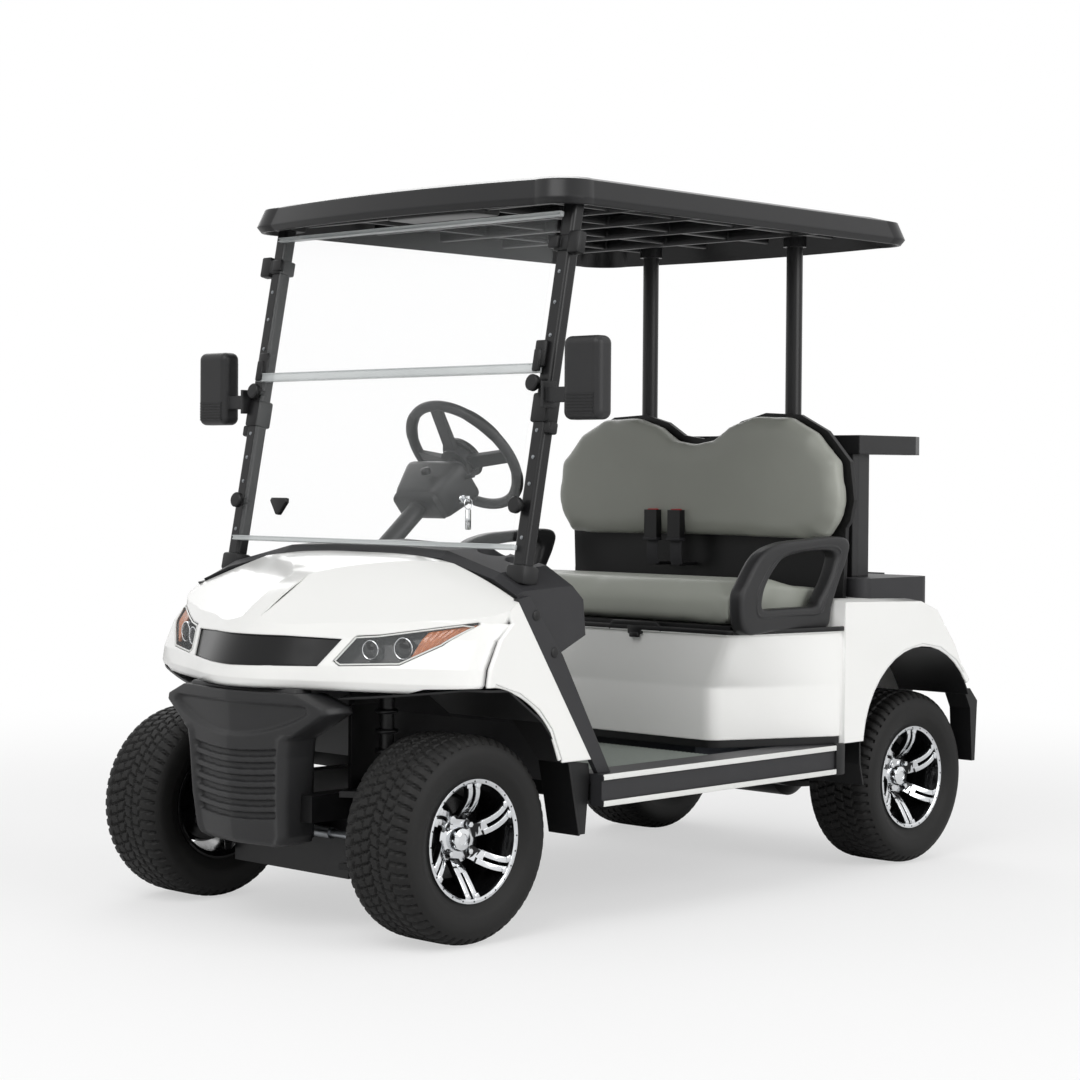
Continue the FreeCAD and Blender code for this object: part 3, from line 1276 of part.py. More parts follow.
def roof():
    """The roof moulding: deep sides, a shallow crown and a hollow underside."""
    low = d.roof_low
    side = d.roof_side
    rise = d.roof_rise
    wall = d.roof_wall
    skirt = Part.makeLoft([roof_wire(low, -8), roof_wire(low + 14, 0)], True, True)
    band = Part.makeLoft([roof_wire(low + 14, 0), roof_wire(low + side, -14)], True, True)
    crown = Part.makeLoft([roof_wire(low + side, -14), roof_wire(low + side + rise * 0.6, -60),
                           roof_wire(low + side + rise, -150)], True, True)
    hollow = Part.makeLoft([roof_wire(low - 1, -8 - wall), roof_wire(low + side - wall, -30)], True, True)
    whole = skirt.fuse([band, crown]).cut(hollow)
    node(feature("roof_whole", largest(whole.removeSplitter())), "roof")


def rear_posts():
    """Two round posts from the rails up to the roof, each with a foot and a collar."""
    ceiling = "roof_low + roof_side - roof_wall - seat_gap"
    post = rod("post", ("post_place", "post_back", "deck_top + seat_gap"), "post_radius",
               f"{ceiling} - deck_top - seat_gap")
    collar = rod("post_collar", ("post_place", "post_back", f"{ceiling} - 46"), "post_radius + 9", "46")
    flange = rod("post_flange", ("post_place", "post_back", "deck_top + seat_gap"), "post_radius + 18", "10")
    node(pair("post_pair", joined("post_whole", [post, collar, flange])), "rear_posts")


def bag_columns():
    """Two upright mouldings on the deck that carry the bag holder."""
    low = d.deck_top + d.seat_gap
    column = plan_slab(low, d.holder_low + 5, [(372, 672), (428, 672), (434, 690), (430, 742), (376, 742)])
    return both_sides(column)


def bag_holder():
    """The black yoke on its columns, with a round bay for each golf bag."""
    half = d.holder_half
    points = [(-half, d.holder_front), (half, d.holder_front), (half, d.holder_rear - 60),
              (half - 30, d.holder_rear), (half - 70, d.holder_rear), (half - 96, 870), (0, 870),
              (-half + 96, 870), (-half + 70, d.holder_rear), (-half + 30, d.holder_rear),
              (-half, d.holder_rear - 60)]
    yoke = plan_slab(d.holder_low, d.holder_top, points)
    for x in (-d.bag_place, d.bag_place):
        yoke = yoke.cut(Part.makeCylinder(d.bag_radius, 300, Vector(x, 920, d.holder_low - 100)))
    node(feature("yoke", largest(yoke).fuse(bag_columns()).removeSplitter()), "bag_holder")


def column_axis():
    angle = math.radians(d.wheel_tilt)
    return Vector(0, math.cos(angle), math.sin(angle))


def wheel_centre():
    return Vector(d.wheel_place, d.wheel_back, d.wheel_high)


def column_shape(radius):
    foot = wheel_centre() - column_axis() * (d.column_length + 70)
    return Part.makeCylinder(radius, d.column_length, foot, column_axis())


def steering_column():
    """The column's jacket with the instrument pod and the stalk."""
    jacket = column_shape(d.column_radius)
    pod = Part.makeBox(150, 90, 120, Vector(-75, -45, 0))
    pod = pod.makeFillet(24, [edge for edge in pod.Edges if edge.Length > 110])
    pod.Placement = Placement(wheel_centre() - column_axis() * 215,
                              Rotation(Vector(0, 0, 1), column_axis()))
    stalk = Part.makeCylinder(6, 130, Vector(), Vector(1, 0, 0.2))
    stalk.translate(wheel_centre() - column_axis() * 120)
    node(feature("column_whole", jacket.fuse([pod, stalk]).removeSplitter()), "steering_column")


def steering_wheel():
    """Rim, three spokes and boss, square to the column."""
    axis = Vector(0, 0, 1)
    ring = Part.makeTorus(d.wheel_radius, d.wheel_grip, Vector(), axis)
    boss = Part.makeCylinder(46, 34, Vector(0, 0, -40), axis)
    neck = Part.makeCylinder(d.column_radius - 4, 70 - d.running_gap - 40 + 10, Vector(0, 0, -70 + d.running_gap),
                             axis)
    spokes = []
    for angle in (0, 180, 270):
        spoke = front_slab(-18, 18, [(38, -34), (38, -18), (d.wheel_radius - 1, 5), (d.wheel_radius - 1, -7)])
        spoke.rotate(Vector(), axis, angle)
        spokes.append(spoke)
    whole = ring.fuse([boss, neck] + spokes).removeSplitter()
    whole.Placement = Placement(wheel_centre(), Rotation(axis, column_axis()))
    node(feature("hand_wheel", whole), "steering_wheel")


def pedals():
    """Brake and accelerator, on arms from the toe board."""
    toe = d.floor_front - d.toe_run
    shapes = []
    for x, width in ((-300, 90), (-180, 62)):
        pad = Part.makeBox(width, 12, 80, Vector(x - width / 2, toe + 62, 440))
        arm = Part.makeBox(16, 66, 12, Vector(x - 8, toe + d.seat_gap, 508))
        shapes.append(pad.fuse(arm).removeSplitter())
    node(feature("pedal_set", Part.makeCompound(shapes)), "pedals")


def side_strips():
    """The dash moulding's strips down the rear edge of the front body, to the sills."""
    share = 1 - d.body_wall / d.front_half
    top = -d.hood_rear - d.hood_sweep * share ** 2 + 1.3 * d.seat_gap
    high = d.hood_height - d.hood_crown
    slope = (d.leg_rear + d.hood_rear + d.hood_sweep) / (high - d.leg_low)
    low = d.sill_top + d.seat_gap
    foot = top + slope * (high - low)
    strip = side_slab(d.front_half - d.strip_width, d.front_half,
                      [(top, high), (top + 36, high + 7), (-590, 628), (foot + 42, low), (foot, low)])
    return both_sides(strip)


def wheels():
    for end, along in (("front", -1), ("rear", 1)):
        for hand, side in (("left", 1), ("right", -1)):
            tyre(f"tyre_{end}_{hand}", side, along)
            rim(f"rim_{end}_{hand}", side, along)


def build():
    wheels()
    knuckle("knuckle_left", 1)
    knuckle("knuckle_right", -1)
    steering_rack()
    steering_wheel()
    seat()
    frame_rails()
    frame_crossmembers()
    suspension_links()
    shock_absorbers()
    rear_axle()
    battery_pack()
    floor_panel()
    sills()
    outer, shell = front_body()
    lamps_and_grille(outer)
    front_bumper()
    wheel_liners()
    dashboard(shell)
    steering_column()
    pedals()
    front_pillars()
    windscreen()
    windscreen_rails()
    mirrors()
    roof()
    rear_posts()
    rear_body()
    rear_deck()
    seat_surround()
    backrest()
    armrests()
    seat_belts()
    bag_holder()


def check_and_export():
    """Stop if any object failed, then write one file for each node."""
    for thing in doc.Objects:
        if {"Invalid", "Error"} & set(thing.State):
            raise RuntimeError(f"{thing.Name} is {thing.State}")
    os.makedirs("parts", exist_ok=True)
    for label in NODES:
        thing = doc.getObjectsByLabel(label)[0]
        shape = thing.Shape
        if shape.isNull() or not shape.isValid() or not shape.Solids:
            raise RuntimeError(f"{label} has no valid solid")
        shape.exportStep(f"parts/{label}.step")


build()
doc.recompute()
check_and_export()
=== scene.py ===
import math

import bmesh
import bpy
import numpy as np
from mathutils import Matrix, Vector
from mathutils.bvhtree import BVHTree


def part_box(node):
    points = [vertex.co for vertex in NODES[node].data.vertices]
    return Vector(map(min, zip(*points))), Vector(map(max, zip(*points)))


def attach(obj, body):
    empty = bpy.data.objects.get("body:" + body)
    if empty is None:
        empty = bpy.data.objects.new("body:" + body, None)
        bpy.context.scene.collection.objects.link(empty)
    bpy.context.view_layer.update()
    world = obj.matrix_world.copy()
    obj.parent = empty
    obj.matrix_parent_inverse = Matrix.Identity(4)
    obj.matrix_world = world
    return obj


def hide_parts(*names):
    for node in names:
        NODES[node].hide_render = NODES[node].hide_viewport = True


# A two-seat electric golf cart: finishes, tyres with tread, padded seats, lamps and small trim.
# Shapes are in millimetres and are brought to metres when a piece is placed. The front is towards -Y,
# the cart's left is +X and up is +Z.

MM = 0.001
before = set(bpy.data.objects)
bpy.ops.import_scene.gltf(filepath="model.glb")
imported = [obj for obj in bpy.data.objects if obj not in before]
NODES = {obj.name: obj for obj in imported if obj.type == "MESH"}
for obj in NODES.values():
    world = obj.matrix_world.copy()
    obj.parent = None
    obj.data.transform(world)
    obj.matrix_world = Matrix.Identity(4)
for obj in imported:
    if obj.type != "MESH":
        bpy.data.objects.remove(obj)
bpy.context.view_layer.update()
SCENE = bpy.context.scene
BOTH = (1, -1)

FRONT_AXLE = -825
REAR_AXLE = 825
WHEEL_PLACE = 432.5
PILLAR_PLACE = 500
PILLAR_FOOT = -664
PILLAR_LOW = 790
PILLAR_LEAN = 0.194
GLASS_AHEAD = 23


# Materials

def linear(code):
    """A linear colour from an sRGB hex value."""
    values = [int(code[i:i + 2], 16) / 255 for i in (1, 3, 5)]
    return [v / 12.92 if v <= 0.04045 else ((v + 0.055) / 1.055) ** 2.4 for v in values] + [1.0]


def add(tree, kind, links=None, **settings):
    """Add a node: settings are its properties and plain inputs, links are its linked inputs."""
    item = tree.nodes.new(kind)
    for name, value in settings.items():
        if hasattr(item, name):
            setattr(item, name, value)
        else:
            item.inputs[name.replace("_", " ")].default_value = value
    for name, source in (links or {}).items():
        tree.links.new(source, item.inputs[name])
    return item


def surface(name, colour, roughness, **shader):
    """A material with one Principled shader. Returns the material, its tree and the shader."""
    material = bpy.data.materials.new(name)
    material.use_nodes = True
    tree = material.node_tree
    principled = tree.nodes["Principled BSDF"]
    principled.inputs["Base Color"].default_value = linear(colour)
    principled.inputs["Roughness"].default_value = roughness
    for key, value in shader.items():
        principled.inputs[key.replace("_", " ")].default_value = value
    return material, tree, principled


def grain(tree, shader, size_mm, depth_mm, edge_mm=0.0, detail=2.0):
    """A moulded or rolled grain of a real size, as bump, over edges that are rounded by edge_mm."""
    place = add(tree, "ShaderNodeTexCoord")
    speckle = add(tree, "ShaderNodeTexNoise", {"Vector": place.outputs["Object"]}, Scale=1000 / size_mm,
                  Detail=detail)
    bump = add(tree, "ShaderNodeBump", {"Height": speckle.outputs["Fac"]}, Distance=depth_mm * MM)
    if edge_mm:
        soft = add(tree, "ShaderNodeBevel", Radius=edge_mm * MM, samples=4)
        tree.links.new(soft.outputs["Normal"], bump.inputs["Normal"])
    tree.links.new(bump.outputs["Normal"], shader.inputs["Normal"])
    return speckle


def tinted(tree, shader, colour, other, size_mm):
    """A slow change between two close colours over the surface."""
    place = add(tree, "ShaderNodeTexCoord")
    cloud = add(tree, "ShaderNodeTexNoise", {"Vector": place.outputs["Object"]}, Scale=1000 / size_mm,
                Detail=3.0)
    mix = add(tree, "ShaderNodeMix", {"Factor": cloud.outputs["Fac"]}, data_type="RGBA")
    mix.inputs[6].default_value = linear(colour)
    mix.inputs[7].default_value = linear(other)
    tree.links.new(mix.outputs[2], shader.inputs["Base Color"])
    return mix


def moulded_white():
    """Thermoformed white ABS: a gloss skin with a faint waviness and soft, rolled edges."""
    material, tree, shader = surface("moulded_white_abs", "#F1F1EF", 0.2, IOR=1.5, Coat_Weight=0.4,
                                     Coat_Roughness=0.05)
    tinted(tree, shader, "#F2F2F0", "#EDEDEA", 400)
    grain(tree, shader, 60.0, 0.04, 5.0)
    return material


def grained_dark(name, colour, other, roughness=0.48, edge_mm=2.5):
    """Injection-moulded dark polypropylene: a fine leather grain and a soft highlight on its edges."""
    material, tree, shader = surface(name, colour, roughness, IOR=1.49, Specular_IOR_Level=0.35)
    tinted(tree, shader, colour, other, 60)
    grain(tree, shader, 1.8, 0.1, edge_mm)
    return material


def gloss_black():
    """Polished black acrylic, as on the panel between the lamps: a clean dark mirror."""
    material, tree, shader = surface("gloss_black_acrylic", "#060607", 0.16, IOR=1.49,
                                     Specular_IOR_Level=0.3)
    tinted(tree, shader, "#050506", "#09090A", 50)
    return material


def vinyl(name, colour, other):
    """Marine vinyl: a soft sheen and a fine pebble grain, drawn coarser than real so that it shows."""
    material, tree, shader = surface(name, colour, 0.4, IOR=1.46, Sheen_Weight=0.1, Sheen_Roughness=0.4)
    tinted(tree, shader, colour, other, 120)
    grain(tree, shader, 2.4, 0.16, detail=4.0)
    return material


def tyre_rubber():
    """Carbon-black tyre rubber: matt, with a faint brown bloom."""
    material, tree, shader = surface("tyre_rubber", "#0C0C0B", 0.62, IOR=1.52, Specular_IOR_Level=0.3)
    tinted(tree, shader, "#0B0B0B", "#131211", 35)
    grain(tree, shader, 3.0, 0.08)
    return material


def metal(name, colour, other, roughness, size_mm=25):
    """Plated or polished metal with a faint brushed haze."""
    material, tree, shader = surface(name, colour, roughness, Metallic=1.0)
    tinted(tree, shader, colour, other, size_mm)
    grain(tree, shader, 1.5, 0.02, 0.8)
    return material


def clear_sheet(name, colour, alpha, roughness=0.03):
    """Clear moulded plastic: almost no tint, and a sharp reflection."""
    material, tree, shader = surface(name, colour, roughness, IOR=1.2, Alpha=alpha)
    tinted(tree, shader, colour, "#F7FAFA", 500)
    return material


def lens_with_painted_glints(name, colour, other):
    """Coloured transparent acrylic over a faceted reflector: deep colour, with a painted reflection of the
    reflector's facets as a bright ripple in the colour.
    """
    material, tree, shader = surface(name, colour, 0.08, IOR=1.49, Coat_Weight=0.8)
    # The second colour is a painted glint: bright patches that stand for the reflector's facets catching
    # the light.
    tinted(tree, shader, colour, other, 7)
    grain(tree, shader, 5.0, 0.5)
    return material


def moulded_colour(name, colour, other, roughness=0.4):
    """A small plastic moulding in one colour."""
    material, tree, shader = surface(name, colour, roughness, IOR=1.49)
    tinted(tree, shader, colour, other, 20)
    grain(tree, shader, 1.5, 0.05, 0.8)
    return material


def mirror_glass():
    """Silvered glass behind the mirror's rim."""
    material, tree, shader = surface("silvered_glass", "#D8DCDD", 0.02, Metallic=1.0)
    tinted(tree, shader, "#D4D8DA", "#DDE1E2", 90)
    return material


WHITE = moulded_white()
DARK = grained_dark("grained_dark_pp", "#262628", "#2C2C2E")
DARK_SOFT = grained_dark("dark_rolled_pp", "#202021", "#262627", 0.42, 7.0)
BLACK = grained_dark("satin_black_pe", "#0E0E0F", "#131314", 0.42)
ROOF_BLACK = grained_dark("satin_black_abs", "#171718", "#1C1C1D", 0.3, 8.0)
GLOSS = gloss_black()
BACK_VINYL = vinyl("back_vinyl", "#94968E", "#9A9C94")
SEAT_VINYL = vinyl("seat_vinyl", "#9A9D94", "#A0A39A")
RUBBER = tyre_rubber()
STEEL = grained_dark("black_powder_coat", "#0D0D0E", "#121213", 0.4, 1.5)
TUBE = grained_dark("satin_black_tube", "#131314", "#181819", 0.3, 2.0)
ZINC = metal("zinc_steel", "#85888B", "#9B9EA1", 0.36)
CHROME = metal("chrome_plate", "#D9DBDD", "#E2E4E6", 0.08)
CLEAR = clear_sheet("clear_polycarbonate", "#F4F8F8", 0.035)
LENS = clear_sheet("clear_acrylic_lens", "#E9EDEF", 0.05)
STRIP = clear_sheet("clear_edge_strip", "#AEB4B4", 0.62, 0.12)
BATTERY = grained_dark("battery_case_pp", "#2B2F35", "#30343A")
# The amber lens's lighter colour is a painted glint of its reflector.
AMBER = lens_with_painted_glints("amber_acrylic", "#8A3D12", "#D07A30")
PAINTED_BLACK = grained_dark("gloss_black_lacquer", "#0A0A0B", "#0F0F10", 0.14, 1.5)
MACHINED = metal("diamond_cut_alloy", "#D5D7DA", "#E2E4E6", 0.14, 12)
# The red lens's lighter colour is a painted glint of its reflector.
RED_LENS = lens_with_painted_glints("red_acrylic", "#8E0F10", "#C22A24")
RED_BUTTON = moulded_colour("red_abs", "#A81A1C", "#B42224")
WEBBING = moulded_colour("black_webbing", "#17171A", "#202024", 0.7)
PALE_STRIP = moulded_colour("pale_pvc_strip", "#DADBD8", "#E2E3E0", 0.35)
MAT = moulded_colour("grey_green_mat", "#7A807B", "#848A84", 0.75)
MIRROR = mirror_glass()

FINISH = {
    "front_body": WHITE, "rear_body": WHITE, "roof": ROOF_BLACK,
    "dashboard": DARK, "front_bumper": DARK, "rear_deck": DARK, "bag_holder": DARK_SOFT,
    "seat_surround": BLACK, "steering_column": DARK_SOFT, "mirrors": DARK_SOFT, "armrests": DARK_SOFT,
    "pedals": BLACK, "wheel_liners": BLACK, "backrest_shell": BLACK, "windscreen_rails": BLACK,
    "grille_panel": GLOSS, "floor_panel": DARK, "seat_board": BLACK, "backrest_cushion": BACK_VINYL,
    "seat_cushion": SEAT_VINYL, "sills": DARK, "frame_rails": STEEL, "frame_crossmembers": STEEL,
    "suspension_links": STEEL, "rear_axle": STEEL, "knuckle_left": STEEL, "knuckle_right": STEEL,
    "steering_rack": ZINC, "shock_absorbers": STEEL, "front_pillars": TUBE, "rear_posts": TUBE,
    "windscreen": CLEAR, "lamp_lenses": LENS, "headlamps": GLOSS, "battery_pack": BATTERY,
    "seat_belts": BLACK, "steering_wheel": DARK,
}


def dress_nodes():
    """Give every CAD node its finish."""
    wheels_finish = {"tyre": RUBBER, "rim": MACHINED}
    for name, thing in NODES.items():
        finish = wheels_finish.get(name.split("_")[0]) or FINISH[name]
        thing.data.materials.clear()
        thing.data.materials.append(finish)


# Forms, in millimetres

def circle(radius, sides, flat=1.0):
    """A round or oval section, as (across, up) points."""
    steps = (2 * math.pi * i / sides for i in range(sides))
    return [(radius * math.cos(t), radius * flat * math.sin(t)) for t in steps]


def rounded(width, height, corner, steps=4):
    """A rectangle with round corners, as (across, up) points."""
    points = []
    for quarter, (x, y) in enumerate(((1, 1), (-1, 1), (-1, -1), (1, -1))):
        for i in range(steps + 1):
            t = math.pi / 2 * (quarter + i / steps)
            points.append((x * (width / 2 - corner) + corner * math.cos(t),
                           y * (height / 2 - corner) + corner * math.sin(t)))
    return points


def curve_through(points, steps, closed=False):
    """A smooth line through given points."""
    spots = [Vector(p) for p in points]
    count = len(spots)
    line = []
    for i in range(count if closed else count - 1):
        if closed:
            a, b, c, e = (spots[(i + k) % count] for k in (-1, 0, 1, 2))
        else:
            a, b, c, e = (spots[min(max(i + k, 0), count - 1)] for k in (-1, 0, 1, 2))
        for k in range(steps):
            t = k / steps
            line.append(0.5 * (2 * b + (c - a) * t + (2 * a - 5 * b + 4 * c - e) * t ** 2
                               + (3 * b - a - 3 * c + e) * t ** 3))
    return line if closed else line + [spots[-1]]


def stitch(part, below, above):
    """Faces between two rings of points, where either may be a single point."""
    sides = max(len(below), len(above))
    for i in range(sides):
        j = (i + 1) % sides
        if len(below) == 1:
            part.faces.new((below[0], above[j], above[i]))
        elif len(above) == 1:
            part.faces.new((below[i], below[j], above[0]))
        else:
            part.faces.new((below[i], below[j], above[j], above[i]))


class Form:
    """Closed solids gathered for one piece."""

    def __init__(self):
        self.mesh = bmesh.new()

    def take(self, part, place=Matrix()):
        """Add a finished solid, moved to its place."""
        part.transform(place)
        bmesh.ops.recalc_face_normals(part, faces=part.faces[:])
        carrier = bpy.data.meshes.new("carrier")
        part.to_mesh(carrier)
        part.free()
        self.mesh.from_mesh(carrier)
        bpy.data.meshes.remove(carrier)

    def block(self, low, high, edge=1.5, place=Matrix(), segments=2):
        """A brick between two corners with rounded edges."""
        part = bmesh.new()
        bmesh.ops.create_cube(part, size=1.0)
        for vert in part.verts:
            vert.co = Vector([a + (c + 0.5) * (b - a) for a, b, c in zip(low, high, vert.co)])
        bmesh.ops.bevel(part, geom=part.edges[:], offset=edge, segments=segments, profile=0.5,
                        affect="EDGES")
        self.take(part, place)

    def lathe(self, profile, place=Matrix(), sides=32, ring=False):
        """A solid turned about its own Z, from (radius, height) corners, which a ring closes."""
        part = bmesh.new()
        rings = []
        for radius, height in profile:
            if radius:
                rings.append([part.verts.new((x, y, height)) for x, y in circle(radius, sides)])
            else:
                rings.append([part.verts.new((0, 0, height))])
        for below, above in zip(rings, rings[1:]):
            stitch(part, below, above)
        if ring:
            stitch(part, rings[-1], rings[0])
        else:
            for end in (rings[0], rings[-1]):
                if len(end) > 1:
                    part.faces.new(end)
        self.take(part, place)

    def sweep(self, points, section, up=(0, 0, 1), closed=False, shrink=None, place=Matrix()):
        """A bar along a line, with one section from end to end."""
        part = bmesh.new()
        spots = [Vector(p) for p in points]
        last = len(spots) - 1
        rings = []
        for i, spot in enumerate(spots):
            before = spots[i - 1] if i or closed else spots[0]
            after = spots[(i + 1) % len(spots)] if i < last or closed else spots[last]
            along = (after - before).normalized()
            side = along.cross(Vector(up)).normalized()
            rise = side.cross(along)
            size = shrink(i / last) if shrink else 1.0
            rings.append([part.verts.new(spot + side * a * size + rise * b * size) for a, b in section])
        for below, above in zip(rings, rings[1:]):
            stitch(part, below, above)
        if closed:
            stitch(part, rings[-1], rings[0])
        else:
            part.faces.new(rings[0])
            part.faces.new(rings[-1])
        self.take(part, place)

    def frame(self, outer, inner, low, high, corner):
        """A closed frame between two loops of (y, z) points, from low to high across, with rolled edges."""
        part = bmesh.new()
        rings = []
        place = (low + high) / 2
        for a, b in zip(outer, inner):
            middle = (a + b) / 2
            across = b - a
            size = across.length
            across.normalize()
            ring = []
            for u, v in rounded(size, high - low, min(corner, size / 2.2)):
                spot = middle + across * u
                ring.append(part.verts.new((place + v, spot.x, spot.y)))
            rings.append(ring)
        for below, above in zip(rings, rings[1:] + rings[:1]):
            stitch(part, below, above)
        self.take(part)

    def plate(self, outline, thick, place=Matrix(), edge=1.0):
        """A flat plate from an outline in its own XY plane, with broken edges."""
        part = bmesh.new()
        base = part.faces.new([part.verts.new((x, y, 0)) for x, y in outline])
        grown = bmesh.ops.extrude_face_region(part, geom=[base])
        bmesh.ops.translate(part, vec=(0, 0, thick),
                            verts=[item for item in grown["geom"] if isinstance(item, bmesh.types.BMVert)])
        if edge:
            rims = [e for e in part.edges if len(e.link_faces) == 2 and e.calc_face_angle(0) > 1.2
                    and abs(e.verts[0].co.z - e.verts[1].co.z) < 0.01]
            bmesh.ops.bevel(part, geom=rims, offset=edge, segments=2, profile=0.5, affect="EDGES")
        self.take(part, place)

    def grid(self, front, back, rows, columns):
        """A closed shell between two surfaces, each a function of (row, column) shares from 0 to 1."""
        part = bmesh.new()
        sheets = []
        for surface_at in (front, back):
            sheets.append([[part.verts.new(surface_at(i / rows, j / columns)) for j in range(columns + 1)]
                           for i in range(rows + 1)])
        for sheet in sheets:
            for i in range(rows):
                for j in range(columns):
                    part.faces.new((sheet[i][j], sheet[i][j + 1], sheet[i + 1][j + 1], sheet[i + 1][j]))
        edge = [(0, j) for j in range(columns)] + [(i, columns) for i in range(rows)]
        edge += [(rows, j) for j in range(columns, 0, -1)] + [(i, 0) for i in range(rows, 0, -1)]
        for (a, b), (c, e) in zip(edge, edge[1:] + edge[:1]):
            part.faces.new((sheets[0][a][b], sheets[0][c][e], sheets[1][c][e], sheets[1][a][b]))
        self.take(part)


def placed(name, mesh, material, body, stands_for=(), sharp=35):
    """Make a mesh in metres one piece of the cart, with its material and body, and hide the CAD nodes it
    stands for.
    """
    mesh.polygons.foreach_set("use_smooth", [True] * len(mesh.polygons))
    mesh.set_sharp_from_angle(angle=math.radians(sharp))
    mesh.materials.append(material)
    thing = bpy.data.objects.new(name, mesh)
    SCENE.collection.objects.link(thing)
    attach(thing, body)
    if stands_for:
        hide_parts(*stands_for)
    return thing


def piece(name, form, material, body, stands_for=(), sharp=35):
    """Finish a form in millimetres as one piece of the cart."""
    mesh = bpy.data.meshes.new(name)
    form.mesh.transform(Matrix.Scale(MM, 4))
    form.mesh.to_mesh(mesh)
    form.mesh.free()
    return placed(name, mesh, material, body, stands_for, sharp)


def facing(place, direction, roll=0.0):
    """A placement whose Z runs along a direction."""
    turn = Vector(direction).to_track_quat("Z", "Y").to_matrix().to_4x4()
    return Matrix.Translation(Vector(place)) @ turn @ Matrix.Rotation(math.radians(roll), 4, "Z")


def pillar_y(height, ahead=0.0):
    """The windscreen pillars' middle line, in millimetres."""
    return PILLAR_FOOT + (height - PILLAR_LOW) * PILLAR_LEAN - ahead


def surface_finder(node):
    """A function that finds the point of a node's foremost surface at (x, z), in millimetres."""
    mesh = NODES[node].data
    spots = [v.co / MM for v in mesh.vertices]
    tree = BVHTree.FromPolygons(spots, [tuple(p.vertices) for p in mesh.polygons])

    def at(x, z):
        return tree.ray_cast(Vector((x, -3000, z)), Vector((0, 1, 0)))[0]

    return at


# Geometry Nodes patterns

def repeated(name, points, normals, form, sizes):
    """Instances of one small shape on a list of points, turned to their normals, as a plain mesh.

    form builds the shape in the tree from the tree's own inputs, which are named after sizes."""
    cloud = bpy.data.meshes.new(name + "_points")
    cloud.from_pydata([Vector(p) * MM for p in points], [], [])
    aim = cloud.attributes.new("aim", "FLOAT_VECTOR", "POINT")
    aim.data.foreach_set("vector", [c for n in normals for c in Vector(n).normalized()])
    holder = bpy.data.objects.new(name + "_holder", cloud)
    SCENE.collection.objects.link(holder)
    tree = bpy.data.node_groups.new(name, "GeometryNodeTree")
    tree.interface.new_socket("Geometry", in_out="INPUT", socket_type="NodeSocketGeometry")
    tree.interface.new_socket("Geometry", in_out="OUTPUT", socket_type="NodeSocketGeometry")
    sockets = {key: tree.interface.new_socket(key, in_out="INPUT", socket_type="NodeSocketFloat")
               for key in sizes}
    inward = add(tree, "NodeGroupInput")
    shape = form(tree, inward.outputs)
    direction = add(tree, "GeometryNodeInputNamedAttribute", data_type="FLOAT_VECTOR")
    direction.inputs["Name"].default_value = "aim"
    turn = add(tree, "FunctionNodeAlignRotationToVector", {"Vector": direction.outputs["Attribute"]},
               axis="Z")
    spread = add(tree, "GeometryNodeInstanceOnPoints", {
        "Points": inward.outputs["Geometry"], "Instance": shape, "Rotation": turn.outputs["Rotation"]})
    real = add(tree, "GeometryNodeRealizeInstances", {"Geometry": spread.outputs["Instances"]})
    coat = add(tree, "GeometryNodeSetMaterial", {"Geometry": real.outputs["Geometry"]})
    add(tree, "NodeGroupOutput", {"Geometry": coat.outputs["Geometry"]})
    modifier = holder.modifiers.new(name, "NODES")
    modifier.node_group = tree
    for key, value in sizes.items():
        modifier[sockets[key].identifier] = value * MM
    mesh = bpy.data.meshes.new_from_object(holder.evaluated_get(bpy.context.evaluated_depsgraph_get()))
    holder.modifiers.clear()
    bpy.data.objects.remove(holder)
    mesh.name = name
    mesh.materials.clear()
    return mesh


def screw_head(tree, sizes):
    """A low round head with a narrower crown."""
    flange = add(tree, "GeometryNodeMeshCylinder", {"Radius": sizes["Radius"], "Depth": sizes["Height"]},
                 Vertices=14)
    small = add(tree, "ShaderNodeMath", {0: sizes["Radius"]}, operation="MULTIPLY")
    small.inputs[1].default_value = 0.62
    crown = add(tree, "GeometryNodeMeshCylinder", {"Radius": small.outputs[0], "Depth": sizes["Height"]},
                Vertices=14)
    lift = add(tree, "ShaderNodeCombineXYZ", {"Z": sizes["Height"]})
    raised = add(tree, "GeometryNodeTransform", {"Geometry": crown.outputs["Mesh"],
                                                 "Translation": lift.outputs["Vector"]})
    both = add(tree, "GeometryNodeJoinGeometry", {"Geometry": flange.outputs["Mesh"]})
    tree.links.new(raised.outputs["Geometry"], both.inputs["Geometry"])
    return both.outputs["Geometry"]


def rib_bar(tree, sizes):
    """One straight rib."""
    size = add(tree, "ShaderNodeCombineXYZ", {
        "X": sizes["Length"], "Y": sizes["Width"], "Z": sizes["Height"]})
    bar = add(tree, "GeometryNodeMeshCube", {"Size": size.outputs["Vector"]})
    return bar.outputs["Mesh"]


# Wheels

WHEEL_RADIUS = 230
GROOVE = 5.0
PITCHES = 56
STEPS = 8
WALL_RINGS = (118, 131, 150)
RING_DEPTH = 0.7


def tread_depth(across, turn):
    """Groove depth at a place across the tread and a turn counted in pitches."""
    zigzag = np.abs((turn % 1) * 2 - 1) - 0.5
    depth = np.zeros(np.broadcast(across, turn).shape)
    for line, swing, width in ((0, 6, 3.4), (27, 5, 3.2), (-27, -5, 3.2), (55, 4, 3.6), (-55, -4, 3.6)):
        away = np.abs(across - line - swing * zigzag)
        depth = np.maximum(depth, GROOVE * np.clip(1.7 * (1 - away / width), 0, 1))
    for low, high, start, width in ((3, 27, 0.25, 0.13), (27, 55, 0.6, 0.15), (55, 99, 0.1, 0.2)):
        inside = (np.abs(across) > low) & (np.abs(across) < high)
        phase = (turn + start * np.sign(across) + 0.3 * (np.abs(across) - low) / (high - low)) % 1
        away = np.minimum(phase, 1 - phase)
        depth = np.maximum(depth, np.where(inside, GROOVE * np.clip(1.7 * (1 - away / width), 0, 1), 0))
    return depth


